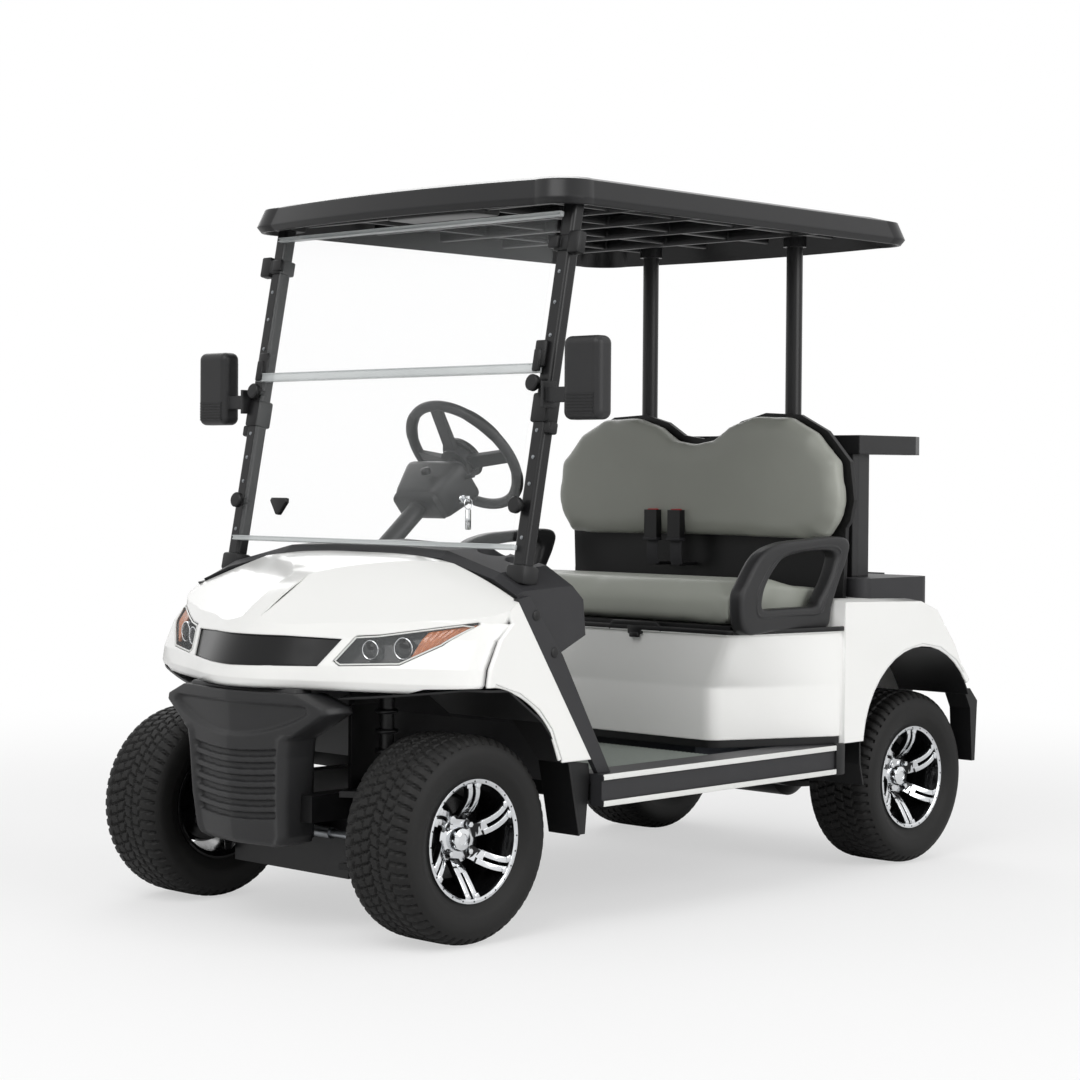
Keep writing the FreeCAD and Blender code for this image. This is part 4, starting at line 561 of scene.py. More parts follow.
def tyre_profile():
    """The tyre's section from bead to bead, as (x, radius) rows with their normals and places across."""
    half = [(80, 127.6), (84, 140), (93, 154), (99.5, 168), (102.2, 189), (99.5, 203), (92, 215),
            (80.5, 224.5), (66, 228.6), (50.5, 229.6), (25, WHEEL_RADIUS)]
    points = half + [(0, WHEEL_RADIUS)] + [(-x, r) for x, r in reversed(half)]
    line = np.array([p[:2] for p in curve_through([(x, r, 0) for x, r in points], 24)])
    lengths = np.concatenate([[0], np.cumsum(np.linalg.norm(np.diff(line, axis=0), axis=1))])
    middle = lengths[-1] / 2
    shoulder = 104
    side = np.linspace(0, middle - shoulder, 16)[:-1]
    crown = np.linspace(middle - shoulder, middle + shoulder, 84)
    marks = np.concatenate([side, crown, lengths[-1] - side[::-1]])
    x = np.interp(marks, lengths, line[:, 0])
    r = np.minimum(np.interp(marks, lengths, line[:, 1]), WHEEL_RADIUS)
    slope = np.gradient(np.stack([x, r], 1), axis=0)
    slope /= np.linalg.norm(slope, axis=1)[:, None]
    normal = np.stack([-slope[:, 1], slope[:, 0]], 1)
    normal *= np.sign(normal[len(x) // 2, 1])
    return x, r, normal, marks - middle


def tyre(name, body, side, along):
    """A tyre with a cut tread, thin rings on its walls and closed beads."""
    x, r, normal, across = tyre_profile()
    count = PITCHES * STEPS
    turn = np.arange(count) / STEPS
    angle = 2 * np.pi * turn / PITCHES
    depth = tread_depth(across[:, None], turn[None, :])
    wall = np.abs(across)
    for ring in WALL_RINGS:
        depth -= RING_DEPTH * np.clip(1 - np.abs(wall - ring) / 3.0, 0, 1)[:, None]
    radius = r[:, None] - depth * normal[:, 1:2]
    sideways = x[:, None] - depth * normal[:, 0:1]
    spots = np.stack([side * WHEEL_PLACE + sideways * np.ones_like(radius), along + radius * np.sin(angle),
                      WHEEL_RADIUS + radius * np.cos(angle)], 2) * MM
    below = np.arange(len(x) * count).reshape(len(x), count)
    above = np.roll(below, -1, axis=0)
    faces = np.stack([below, np.roll(below, -1, 1), np.roll(above, -1, 1), above], 2).reshape(-1, 4)
    mesh = bpy.data.meshes.new(name)
    mesh.from_pydata(spots.reshape(-1, 3).tolist(), [], faces.tolist())
    form = bmesh.new()
    form.from_mesh(mesh)
    bmesh.ops.recalc_face_normals(form, faces=form.faces[:])
    form.to_mesh(mesh)
    form.free()
    placed(f"{name}_tread", mesh, RUBBER, body, (name,), 30)


RIM_HALF = 88
SPOKE_PAIRS = 6
SPOKE_START = 0.3
SPOKE_SWEEP = math.radians(13)
SPOKE_ROOT = 44
SPOKE_FORK = 64
WEB_END = 72
SPOKE_TIP = 127
ARM_OFFSET = 11
HUB_FACE = 34
NUTS = 4
NUT_CIRCLE = 42
LIP_BOLTS = 24
LIP_CIRCLE = 131.6


def spoke_point(radius, angle, offset, lift):
    """A point of a spoke: dished from the hub out to the lip and swept round a little."""
    share = (radius - SPOKE_ROOT) / (SPOKE_TIP - SPOKE_ROOT)
    turn = angle + SPOKE_SWEEP * share ** 1.4
    height = HUB_FACE + (RIM_HALF - 5 - HUB_FACE) * math.sin(math.pi / 2 * share) ** 0.9
    return Vector((radius * math.cos(turn) - offset * math.sin(turn),
                   radius * math.sin(turn) + offset * math.cos(turn), height + lift))


def rim(name, body, side, along):
    """A dished wheel: lacquered barrel and spokes, with machined faces, lip, hub, nuts and cap."""
    outward = (side, 0, 0)
    place = facing((side * WHEEL_PLACE, along, WHEEL_RADIUS), outward)
    dark = Form()
    bright = Form()
    plated = Form()
    dark.lathe([(135.6, 86), (135.6, 82), (127.2, 79), (127.2, -79), (136, -82), (136, -88), (130, -88),
                (120, -76), (120, 66), (127, 84)], place, 96, True)
    dark.lathe([(0, -34), (94, -34), (98, -28), (98, 0), (90, 7), (62, 10), (0, 10)], place, 64)
    dark.lathe([(98.5, -20), (101, -18), (101, -12), (98.5, -10)], place, 64, True)
    bright.lathe([(136.2, 82), (136.2, 88.2), (130.5, 88.6), (126.5, 85.5), (127.2, 82)], place, 128, True)
    web = np.linspace(SPOKE_ROOT, WEB_END, 6)
    arm = np.linspace(SPOKE_FORK, SPOKE_TIP, 15)
    for pair in range(SPOKE_PAIRS):
        angle = 2 * math.pi * pair / SPOKE_PAIRS + SPOKE_START
        for radii, offset, wide in ((web, 0, 31), (arm, -ARM_OFFSET, 13), (arm, ARM_OFFSET, 13)):
            under = [spoke_point(r, angle, offset, -9) for r in radii]
            face = [spoke_point(r, angle, offset, -1.2) for r in radii]
            dark.sweep(under, rounded(wide + (2 if offset == 0 else 1.5), 15, 3), place=place)
            bright.sweep(face, rounded(wide, 3.4, 1.2), place=place)
        for offset in (-ARM_OFFSET, ARM_OFFSET):
            tip = place @ spoke_point(SPOKE_TIP - 4, angle, offset * 1.25, 1)
            bright.lathe([(0, -4), (9.5, -4), (9.5, 1), (7.5, 2), (0, 2)], facing(tip, outward), 5)
    bright.lathe([(0, 12), (54, 12), (56, 26), (53, HUB_FACE), (48, HUB_FACE + 1), (0, HUB_FACE + 1)],
                 place, 64)
    for nut in range(NUTS):
        angle = math.pi / 4 + 2 * math.pi * nut / NUTS
        spot = place @ Vector((NUT_CIRCLE * math.cos(angle), NUT_CIRCLE * math.sin(angle), HUB_FACE))
        dark.lathe([(0, 0), (11, 0), (11, 1.8), (0, 1.8)], facing(spot, outward), 24)
        plated.lathe([(0, 0), (8, 0), (8, 11), (6.5, 14), (0, 15)], facing(spot, outward), 6)
    cap = [(0, 0), (27, 0), (27, 12), (24, 17), (13, 20), (12, 18), (0, 18)]
    plated.lathe([(radius, HUB_FACE + height) for radius, height in cap], place, 48)
    for turn in range(LIP_BOLTS):
        angle = 2 * math.pi * turn / LIP_BOLTS
        spot = place @ Vector((LIP_CIRCLE * math.cos(angle), LIP_CIRCLE * math.sin(angle), RIM_HALF - 0.4))
        dark.lathe([(0, 0), (2.1, 0), (2.1, 1.3), (0, 1.3)], facing(spot, outward), 8)
    stem = place @ Vector((118, 20, 60))
    dark.lathe([(0, 0), (4, 0), (4, 12), (3, 13), (3, 24), (0, 25)], facing(stem, outward), 12)
    piece(f"{name}_barrel", dark, PAINTED_BLACK, body, (name,))
    piece(f"{name}_faces", bright, MACHINED, body)
    piece(f"{name}_nuts", plated, CHROME, body)


def wheels():
    for end, along in (("front", FRONT_AXLE), ("rear", REAR_AXLE)):
        for hand, side in (("left", 1), ("right", -1)):
            body = f"wheel_{end}_{hand}"
            tyre(f"tyre_{end}_{hand}", body, side, along)
            rim(f"rim_{end}_{hand}", body, side, along)


# White body and the mouldings round the seat

BOX_FOOT = 352
BOX_PLINTH = 20
BOX_CREASE = 500
BOX_TOP = 640
BOX_CORNER = 34
BOX_SIDE = 564
BOX_REAR = 446
BOX_SHOULDER = 425
BOX_HALF = (415, 500)
BOX_FRONT = (105, 86)
BOX_WALL = 4
SHELL_CUT = 438.5
REAR_ARCH = (REAR_AXLE - 30, 330)
ARCH_RADIUS = 262


def box_plan(height, inset):
    """The seat box's outline at a height, from its left rear round the front to its right rear."""
    rise = max(0.0, (height - BOX_CREASE) / (BOX_TOP - BOX_CREASE))
    lean = rise * min(1.0, rise * 6 + 0.35)
    half = BOX_HALF[0] + (BOX_HALF[1] - BOX_HALF[0]) * lean - inset
    front = BOX_FRONT[0] + (BOX_FRONT[1] - BOX_FRONT[0]) * lean + inset
    side = BOX_SIDE - inset
    corner = Vector((half, front))
    run = (Vector((side, BOX_SHOULDER)) - corner).normalized()
    first = corner + run * BOX_CORNER
    last = corner - Vector((BOX_CORNER, 0))
    bend = [first.lerp(corner, t).lerp(corner.lerp(last, t), t) for t in (i / 12 for i in range(13))]
    flank = [Vector((side - 5, BOX_REAR + 10)), Vector((side + 0.5, BOX_REAR - 5))]
    flank += [Vector((side + 0.5, BOX_SHOULDER)).lerp(first, t) for t in (0.02, 0.25, 0.5, 0.75)]
    left = flank + bend + [Vector((half * t, front)) for t in (0.6, 0.3)]
    return left + [Vector((0, front))] + [Vector((-p.x, p.y)) for p in reversed(left)]


def box_band(form, levels, outer, inner, roll=lambda height: 0.0):
    """A wall of the seat box through some heights, between two insets from its outline."""
    columns = len(box_plan(BOX_TOP, 0)) - 1

    def skin(inset):
        def at(row, column):
            height = levels[round(row * (len(levels) - 1))]
            spot = box_plan(height, inset + roll(height))[round(column * columns)]
            return Vector((spot.x, spot.y, height))
        return at

    form.grid(skin(outer), skin(inner), len(levels) - 1, columns)


def box_line(inset, height):
    """The seat box's top outline as a line at a height."""
    return [Vector((p.x, p.y, height)) for p in box_plan(BOX_TOP, inset)]


def rear_shell():
    """The rear moulding: the fenders as they are, and a seat box with rolled corners and a soft crease."""
    shell = bmesh.new()
    shell.from_mesh(NODES["rear_body"].data)
    bmesh.ops.remove_doubles(shell, verts=shell.verts[:], dist=0.02 * MM)
    cut = bmesh.ops.bisect_plane(shell, geom=shell.verts[:] + shell.edges[:] + shell.faces[:],
                                 plane_co=(0, SHELL_CUT * MM, 0), plane_no=(0, 1, 0), clear_inner=True)
    rim_edges = [item for item in cut["geom_cut"] if isinstance(item, bmesh.types.BMEdge)]
    bmesh.ops.triangle_fill(shell, edges=rim_edges, use_beauty=True)
    shell.transform(Matrix.Scale(1 / MM, 4))
    form = Form()
    form.mesh = shell
    levels = [BOX_FOOT + BOX_PLINTH] + [BOX_CREASE - 12 + 3 * i for i in range(9)]
    levels += [540, 580, 615, BOX_TOP - 6, BOX_TOP]
    box_band(form, levels, 0.0, BOX_WALL, lambda height: 6 * max(0.0, (height - BOX_TOP + 6) / 6) ** 2)
    form.sweep(box_line(BOX_WALL, BOX_TOP - 2), rounded(18, 3, 1), up=(0, 0, 1))
    lip = []
    for step in range(25):
        angle = math.radians(200 - step * 220 / 24)
        y = REAR_ARCH[0] + ARCH_RADIUS * 1.02 * math.cos(angle)
        z = REAR_ARCH[1] + ARCH_RADIUS * math.sin(angle)
        if z > 352 and (y < 1000 or z > 458):
            lip.append((y, z))
    for side in BOTH:
        form.sweep([(side * 566, y, z) for y, z in lip], rounded(17, 8, 3.8), up=(1, 0, 0))
    piece("rear_moulding", form, WHITE, "chassis", ("rear_body",), 28)


def box_trim():
    """Black: the box's plinth, the tray's edge with its bump and latch, and the rear arches' lining."""
    form = Form()
    foot = BOX_FOOT + 0.6
    box_band(form, [foot, foot + BOX_PLINTH], 1.5, 9.0)
    form.sweep(box_line(-1, 645), rounded(12, 12, 3), up=(0, 0, 1))
    bump = [(94, 84, 641), (112, 84, 656), (254, 84, 656), (272, 84, 641)]
    form.sweep(bump, rounded(12, 9, 3), up=(0, 1, 0))
    form.block((160, 78, 628), (206, 88, 650), 3)
    form.block((168, 75, 620), (198, 86, 632), 2.5)
    for side in BOTH:
        line = []
        for step in range(13):
            angle = math.radians(74 - 4 * step)
            y = REAR_ARCH[0] + (ARCH_RADIUS - 3) * math.cos(angle)
            z = REAR_ARCH[1] + (ARCH_RADIUS - 5) * math.sin(angle)
            line.append((side * 447, y, z))
        form.sweep(line, rounded(230, 4, 1), up=(0, 0.3, 1))
    piece("box_trim", form, BLACK, "chassis")


FRONT_ARCH = [(-802, 574), (-768, 567), (-723, 549), (-690, 531), (-662, 510), (-640, 489), (-621, 465),
              (-604, 430), (-589, 393)]


def front_arch_lips():
    """The rolled flange round each front wheel arch."""
    form = Form()
    path = curve_through([(0, y, z) for y, z in FRONT_ARCH], 4)
    for side in BOTH:
        form.sweep([(side * 553, p.y, p.z) for p in path], rounded(15, 7, 3.3), up=(1, 0, 0))
    piece("front_arch_lips", form, WHITE, "chassis")


ARM_OUTER = [(90, 646), (70, 728), (94, 774), (152, 838), (232, 864), (330, 872), (470, 878), (512, 862),
             (502, 820), (474, 770), (440, 700), (418, 646), (310, 645), (200, 645)]
ARM_INNER = [(160, 704), (158, 734), (174, 768), (208, 804), (246, 828), (318, 840), (420, 843), (452, 830),
             (448, 806), (428, 768), (394, 726), (372, 704), (300, 702), (220, 702)]
ARM_INSIDE = 496
ARM_OUTSIDE = 540


def armrest_mouldings():
    """Moulded armrests with rolled edges and a raised line round their openings."""
    form = Form()
    outer = [Vector((p.x, p.y)) for p in curve_through([(y, z, 0) for y, z in ARM_OUTER], 6, True)]
    inner = [Vector((p.x, p.y)) for p in curve_through([(y, z, 0) for y, z in ARM_INNER], 6, True)]
    for side in BOTH:
        low, high = sorted((side * ARM_INSIDE, side * ARM_OUTSIDE))
        form.frame(outer, inner, low, high, 11)
        middle = [a.lerp(b, 0.7) for a, b in zip(outer, inner)]
        line = [(side * (ARM_OUTSIDE - 0.4), p.x, p.y) for p in middle]
        form.sweep(line, circle(2.2, 8), up=(1, 0, 0), closed=True)
    piece("armrest_mouldings", form, DARK_SOFT, "chassis", ("armrests",), 60)


# Padded seats

VOXEL = 8
SWELL_FRAMES = 20

def stuffed(node, name, material, body, squeeze, cap, seam, proud=3, calm=None):
    """A padded piece, swollen by cloth simulation from a slightly smaller copy of its CAD solid.

    squeeze is how much smaller it starts along each axis, and cap how far a point may swell. seam is the
    axis and the place of the sewn line round the pad, and proud how far a pad that starts larger may stand
    out. calm is where along y the swelling starts to fade, so that the pad clears what is behind it when
    the seat tips. All are in millimetres."""
    low, high = (Vector(corner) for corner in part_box(node))
    middle = (low + high) / 2
    form = bmesh.new()
    form.from_mesh(NODES[node].data)
    bmesh.ops.remove_doubles(form, verts=form.verts[:], dist=0.02 * MM)
    for vert in form.verts:
        for axis in range(3):
            half = (high[axis] - low[axis]) / 2
            share = (half - squeeze[axis] * MM) / half
            vert.co[axis] = middle[axis] + (vert.co[axis] - middle[axis]) * share
    mesh = bpy.data.meshes.new(name)
    form.to_mesh(mesh)
    form.free()
    pad = bpy.data.objects.new(name + "_pad", mesh)
    SCENE.collection.objects.link(pad)
    even = pad.modifiers.new("even", "REMESH")
    even.mode = "VOXEL"
    even.voxel_size = VOXEL * MM
    ready = bpy.data.meshes.new_from_object(pad.evaluated_get(bpy.context.evaluated_depsgraph_get()))
    pad.modifiers.clear()
    pad.data = ready
    start = np.empty(len(ready.vertices) * 3)
    ready.vertices.foreach_get("co", start)
    start = start.reshape(-1, 3)
    moved = start
    cloth = pad.modifiers.new("swell", "CLOTH")
    cloth.settings.use_pressure = True
    cloth.settings.uniform_pressure_force = 4.0
    cloth.settings.effector_weights.gravity = 0.0
    cloth.settings.tension_stiffness = 20
    cloth.settings.compression_stiffness = 20
    cloth.settings.bending_stiffness = 2
    for step in range(1, SWELL_FRAMES + 1):
        SCENE.frame_set(step)
        result = pad.evaluated_get(bpy.context.evaluated_depsgraph_get())
    swollen = np.empty(len(result.data.vertices) * 3)
    result.data.vertices.foreach_get("co", swollen)
    moved = swollen.reshape(-1, 3)
    pad.modifiers.clear()
    SCENE.frame_set(1)
    shift = moved - start
    length = np.linalg.norm(shift, axis=1)
    shift *= np.minimum(1, cap * MM / np.maximum(length, 1e-9))[:, None]
    if calm:
        shift *= np.clip((calm + 80 - start[:, 1] / MM) / 80, 0.05, 1)[:, None]
    moved = start + shift
    axis, place = seam
    near = np.clip(1 - np.abs(start[:, axis] / MM - place) / 9.0, 0, 1)
    inward = np.array(middle)[None, :] - moved
    inward[:, axis] = 0
    inward /= np.maximum(np.linalg.norm(inward, axis=1), 1e-9)[:, None]
    moved = moved + inward * (near * 3.0 * MM)[:, None]
    reach = np.array([proud if squeeze[axis] < 0 else 3 for axis in range(3)]) * MM
    moved = np.clip(moved, np.array(low) - reach, np.array(high) + reach)
    if squeeze[2] > 0:
        moved[:, 2] = np.maximum(moved[:, 2], low[2] + 0.3 * MM)
    ready.vertices.foreach_set("co", moved.ravel())
    soft = bmesh.new()
    soft.from_mesh(ready)
    for _ in range(9):
        bmesh.ops.smooth_vert(soft, verts=soft.verts[:], factor=0.5, use_axis_x=True, use_axis_y=True,
                              use_axis_z=True)
    soft.to_mesh(ready)
    soft.free()
    finer = pad.modifiers.new("finer", "SUBSURF")
    finer.levels = 1
    finer.render_levels = 1
    last = bpy.data.meshes.new_from_object(pad.evaluated_get(bpy.context.evaluated_depsgraph_get()))
    pad.modifiers.clear()
    bpy.data.objects.remove(pad)
    last.name = name
    last.materials.clear()
    thing = placed(name, last, material, body, (node,), 180)
    return thing


def seats():
    """The seat's pad, which tips with the seat, and the backrest's, which hides the rim of its shell."""
    low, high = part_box("seat_cushion")
    stuffed("seat_cushion", "seat_pad", SEAT_VINYL, "seat_body", (9, 9, 9), 22,
            (2, high[2] / MM - 34), calm=300)
    low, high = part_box("backrest_cushion")
    stuffed("backrest_cushion", "backrest_pad", BACK_VINYL, "chassis", (-7, 8, -7), 14,
            (1, high[1] / MM - 14), 12)


def belts():
    """Red release buttons on the buckles, and the webbing down to the seat."""
    low, high = (Vector(corner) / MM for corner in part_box("seat_belts"))
    buttons = Form()
    webbing = Form()
    for x in (low.x + 22, high.x - 22):
        buttons.block((x - 15, low.y + 4, high.z - 12), (x + 15, low.y + 20, high.z + 3), 3)
        strap = curve_through([(x, low.y + 14, high.z - 74), (x + 1, low.y + 9, high.z - 100),
                               (x + 2, low.y + 9, high.z - 128), (x + 3, low.y + 12, high.z - 149)], 6)
        webbing.sweep(strap, rounded(40, 2.4, 1.1), up=(0, 1, 0))
        webbing.block((x - 24, low.y - 4, high.z - 84), (x + 24, low.y + 22, high.z - 76), 2)
    piece("buckle_buttons", buttons, RED_BUTTON, "chassis")
    piece("belt_webbing", webbing, WEBBING, "chassis")


# Nose

LAMP_OUTLINE = [(516, 704), (330, 672.5), (280, 668), (251, 617), (265, 609.5), (393, 615.5), (466, 658)]
PROJECTORS = ((312, 642, 19), (382, 647, 22))
AMBER_TOP = ((420, 683), (510, 701))
AMBER_FOOT = ((404, 622), (468, 661))
AMBER_FACE = -840


def amber_corner(form, lens, side):
    """The turn lamp's rippled reflector, just behind the lens."""
    top = [Vector(p) for p in AMBER_TOP]
    foot = [Vector(p) for p in AMBER_FOOT]

    def sheet(depth):
        def at(row, column):
            x, z = foot[0].lerp(foot[1], column).lerp(top[0].lerp(top[1], column), row)
            ripple = 1.2 * math.cos(column * 14 * math.pi)
            spot = lens(side * x, z)
            face = AMBER_FACE if spot is None else spot.y
            return Vector((side * x, face + 9 + depth + ripple, z))
        return at

    form.grid(sheet(0), sheet(6), 8, 28)


def lamps():
    """Projectors, an amber corner and a pale rim in each headlamp."""
    lens = surface_finder("lamp_lenses")
    rims = Form()
    cups = Form()
    eyes = Form()
    wedges = Form()
    for side in BOTH:
        line = []
        for a, b in zip(LAMP_OUTLINE, LAMP_OUTLINE[1:] + LAMP_OUTLINE[:1]):
            for k in range(6):
                x, z = Vector(a).lerp(Vector(b), k / 6)
                spot = lens(side * x, z)
                if spot is not None:
                    line.append(spot + Vector((0, -0.2, 0)))
        rims.sweep(line, circle(1.9, 8), closed=True)
        for x, z, radius in PROJECTORS:
            aim = facing(lens(side * x, z) + Vector((0, 12, 0)), (side * 0.25, -1, 0))
            ring = [(2.6, -14), (2.6, 1), (1.4, 2), (0, 1), (0, -14)]
            cups.lathe([(radius + wide, height) for wide, height in ring], aim, 40, True)
            dome = [(0, -12), (1, -12), (1, -2), (0.8, 3), (0.4, 6), (0, 7)]
            eyes.lathe([(radius * share, height) for share, height in dome], aim, 40)
        amber_corner(wedges, lens, side)
    piece("lamp_rims", rims, PALE_STRIP, "chassis")
    piece("lamp_cups", cups, CHROME, "chassis")
    piece("lamp_projectors", eyes, GLOSS, "chassis")
    piece("turn_lamps", wedges, AMBER, "chassis")


BUMPER_EDGE = [(196, 118), (204, 146), (222, 158), (320, 166), (400, 171), (440, 178), (462, 214),
               (502, 281), (516, 276), (543, 201)]
LOUVRES = 6
LOUVRE_LOW = 262
LOUVRE_PITCH = 28
LOUVRE_HALF = 9
SCOOP_LOW = 440
SCOOP_TOP = 522
NOSE_REACH = 1094
NOSE_BOW = 230
NOSE_POWER = 1.22
NOSE_HALF = 560


def bumper_half(z):
    """Half the bumper's width at a height."""
    return float(np.interp(z, [p[0] for p in BUMPER_EDGE], [p[1] for p in BUMPER_EDGE]))


def bumper_y(x, z):
    """The bumper's bowed front face, with its louvres, scoop and raised cheeks."""
    fall = NOSE_BOW * 0.5 * (abs(x) / NOSE_HALF) ** NOSE_POWER
    face = -NOSE_REACH - 4 + fall + float(np.interp(z, [180, 300, 520, 560], [26, 10, 0, 4]))
    half = bumper_half(z)
    share = abs(x) / max(half, 1)
    inside = min(1.0, max(0.0, (0.84 - share) / 0.05))
    ridge = 6 * max(0.0, 1 - abs(share - 0.9) / 0.1)
    groove = 0.0
    for number in range(LOUVRES):
        away = abs(z - LOUVRE_LOW - LOUVRE_PITCH * number - 10 * (x / 150) ** 2)
        groove = max(groove, LOUVRE_HALF * min(1.0, (LOUVRE_HALF - away) / 4))
    scoop = SCOOP_LOW + 26 * (x / 160) ** 2
    bowl = 10 * min(1.0, max(0.0, (z - scoop) / 10)) * min(1.0, max(0.0, (SCOOP_TOP - z) / 10))
    edge = 14 * max(0.0, share - 0.96) / 0.04
    low_roll = 12 * max(0.0, (214 - z) / 18) ** 2
    return face + inside * (groove + bowl) + edge + low_roll - (ridge if z < 452 else 0)


def bumper():
    """The louvred dark bumper under the lip."""
    form = Form()
    low, high = BUMPER_EDGE[0][0], BUMPER_EDGE[-1][0]

    def front(row, column):
        z = low + (high - low) * row
        x = bumper_half(z) * (2 * column - 1)
        return Vector((x, bumper_y(x, z), z))

    def back(row, column):
        spot = front(row, column)
        narrow, depth = (0.97, 24) if abs(2 * column - 1) < 0.97 else (0.99, 70)
        return Vector((spot.x * narrow, spot.y + depth, spot.z))

    form.grid(front, back, 174, 96)
    form.block((-186, -1052, 490), (186, -1000, 552), 8)
    piece("bumper_moulding", form, DARK_SOFT, "chassis", ("front_bumper",), 50)


# Windscreen, mirrors and roof

RIVET_HEIGHTS = (890, 1010, 1070, 1130, 1345, 1420, 1490)


def on_pillar(x, height, ahead=0.0):
    """A placement on a windscreen pillar's line, leaning as it does."""
    lean = Matrix.Rotation(-math.atan(PILLAR_LEAN), 4, "X")
    return Matrix.Translation((x, pillar_y(height, ahead), height)) @ lean


def windscreen_strips():
    """Clear strips along the panes' edges, each with two fine lines."""
    strips = Form()
    for low, high in ((862, 874), (1259, 1281), (1616, 1628)):
        half = (high - low) / 2
        spot = on_pillar(0, (low + high) / 2, GLASS_AHEAD + 2)
        strips.block((-492, -6, -half), (492, 5.5, half), 2, spot)
        for line in (half - 1.9, 1.9 - half):
            strips.block((-492, -8, line - 1.3), (492, -5, line + 1.3), 0.6, spot)
    piece("windscreen_strips", strips, STRIP, "chassis", ("windscreen_rails",))


def screen_hardware():
    """Knobs, latches, band clamps, the lower pane's clip, and the rivets on the pillars."""
    windscreen_strips()
    black = Form()
    ahead = Vector((0, -1, PILLAR_LEAN)).normalized()
    knob = [(0, -12), (9, -12), (9, 10), (17, 11), (19, 14), (19, 24), (16, 27), (0, 28)]
    points = []
    for side in BOTH:
        x = side * PILLAR_PLACE
        for height in (959, 1233):
            black.lathe(knob, facing((side * 487, pillar_y(height, 20), height), ahead), 24)
        latch = facing((side * 484, pillar_y(1304, 24), 1304), ahead)
        black.block((-16, -32, -8), (16, 30, 6), 4, latch)
        black.block((-10, -44, 2), (10, 8, 14), 4, latch)
        clamp = on_pillar(x, 1552)
        black.block((-25, -24, -19), (25, 24, 19), 5, clamp)
        black.block((side * 36 - 17, -26, -26), (side * 36 + 17, 2, 26), 5, clamp)
        black.block((side * -18 - 15, -34, -14), (side * -18 + 15, -16, 14), 3, clamp)
        clamp = on_pillar(x, 1178)
        black.block((-24, -23, -34), (24, 23, 34), 6, clamp)
        black.block((side * 24 - 14, -15, -58), (side * 24 + 12, 13, -30), 5, clamp)
        black.block((-29, -26, -30), (29, 26, 16), 8, on_pillar(x, 812))
        black.block((-27, -26, -22), (27, 40, 14), 8, Matrix.Translation((x, pillar_y(1668), 1668)))
        points += [(x, pillar_y(height, 18.4), height) for height in RIVET_HEIGHTS]
    clip = [(-28, -20), (26, -20), (30, -12), (2, 22), (-8, 22), (-30, -10)]
    black.plate(clip, 14, facing((-330, pillar_y(948, GLASS_AHEAD + 3), 948), ahead, 180), 3)
    piece("screen_fittings", black, BLACK, "chassis")
    sizes = {"Radius": 4.5, "Height": 1.6}
    mesh = repeated("pillar_rivets", points, [ahead] * len(points), screw_head, sizes)
    placed("pillar_rivets", mesh, ZINC, "chassis")


MIRROR_PLACE = 642


def mirror_trim():
    """Silvered glass facing the driver, and the ribbed band on the housing's front."""
    low, high = (Vector(corner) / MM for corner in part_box("mirrors"))
    glass = Form()
    ribs = []
    for side in BOTH:
        x = side * MIRROR_PLACE
        glass.plate(rounded(88, 128, 16), 2.2, facing((x, high.y - 1.4, 1258), (0, 1, 0)), 0.8)
        ribs += [(x, low.y - 0.4, height) for height in range(1166, 1214, 7)]
    piece("mirror_glasses", glass, MIRROR, "chassis")
    sizes = {"Length": 84, "Width": 3.0, "Height": 3.4}
    mesh = repeated("mirror_ribs", ribs, [(0, 0, 1)] * len(ribs), rib_bar, sizes)
    placed("mirror_ribs", mesh, DARK_SOFT, "chassis")


def roof_ribs():
    """Crossing stiffening ribs under the roof, and the block above the windscreen."""
    form = Form()
    for y in (-430, -190, 50, 290, 530):
        form.block((-500, y - 9, 1662), (500, y + 9, 1693), 3)
    for x in (-330, -110, 110, 330):
        form.block((x - 8, -540, 1668), (x + 8, 700, 1693), 3)
    form.block((-150, -480, 1652), (150, -380, 1692), 8)
    piece("roof_ribs", form, ROOF_BLACK, "chassis")


# Cockpit

HAND_WHEEL = Vector((-250, -105, 1080))
HAND_WHEEL_RADIUS = 165
COLUMN_ANGLE = math.radians(40)
COLUMN_AXIS = Vector((0, math.cos(COLUMN_ANGLE), math.sin(COLUMN_ANGLE)))


def column_hood():
    """The flared hood round the column's top, with the round boss of a switch."""
    form = Form()
    part = bmesh.new()
    bmesh.ops.create_cube(part, size=1.0)
    for vert in part.verts:
        wide, deep = (216, 128) if vert.co.z > 0 else (150, 92)
        vert.co = Vector((vert.co.x * wide, vert.co.y * deep, (vert.co.z + 0.5) * 128))
    bmesh.ops.bevel(part, geom=part.edges[:], offset=26, segments=4, profile=0.5, affect="EDGES")
    form.take(part, facing(HAND_WHEEL - COLUMN_AXIS * 212, COLUMN_AXIS))
    boss = HAND_WHEEL - COLUMN_AXIS * 150 + Vector((30, -50, 48))
    form.lathe([(0, 0), (13, 0), (13, 12), (10, 15), (0, 16)], facing(boss, (0, -0.4, 1)), 24)
    piece("column_hood", form, DARK_SOFT, "chassis", (), 40)


def key_and_fob():
    """The ignition key in its lock, its ring and its plain tag."""
    form = Form()
    x, y, z = HAND_WHEEL - COLUMN_AXIS * 165 + Vector((112, 6, -6))
    form.lathe([(0, 0), (11, 0), (11, 8), (9, 10), (0, 10)], facing((x, y, z), (1, -0.2, 0)), 24)
    form.block((x + 8, y - 2, z - 8), (x + 30, y + 2, z + 8), 1)
    loop = [(x + 26, y + v, z - 12 + u) for u, v in circle(14, 24)]
    form.sweep(loop, circle(1.3, 8), up=(1, 0, 0), closed=True)
    form.block((x + 23, y - 9, z - 78), (x + 29, y + 9, z - 26), 2.5)
    piece("key_and_fob", form, CHROME, "chassis")


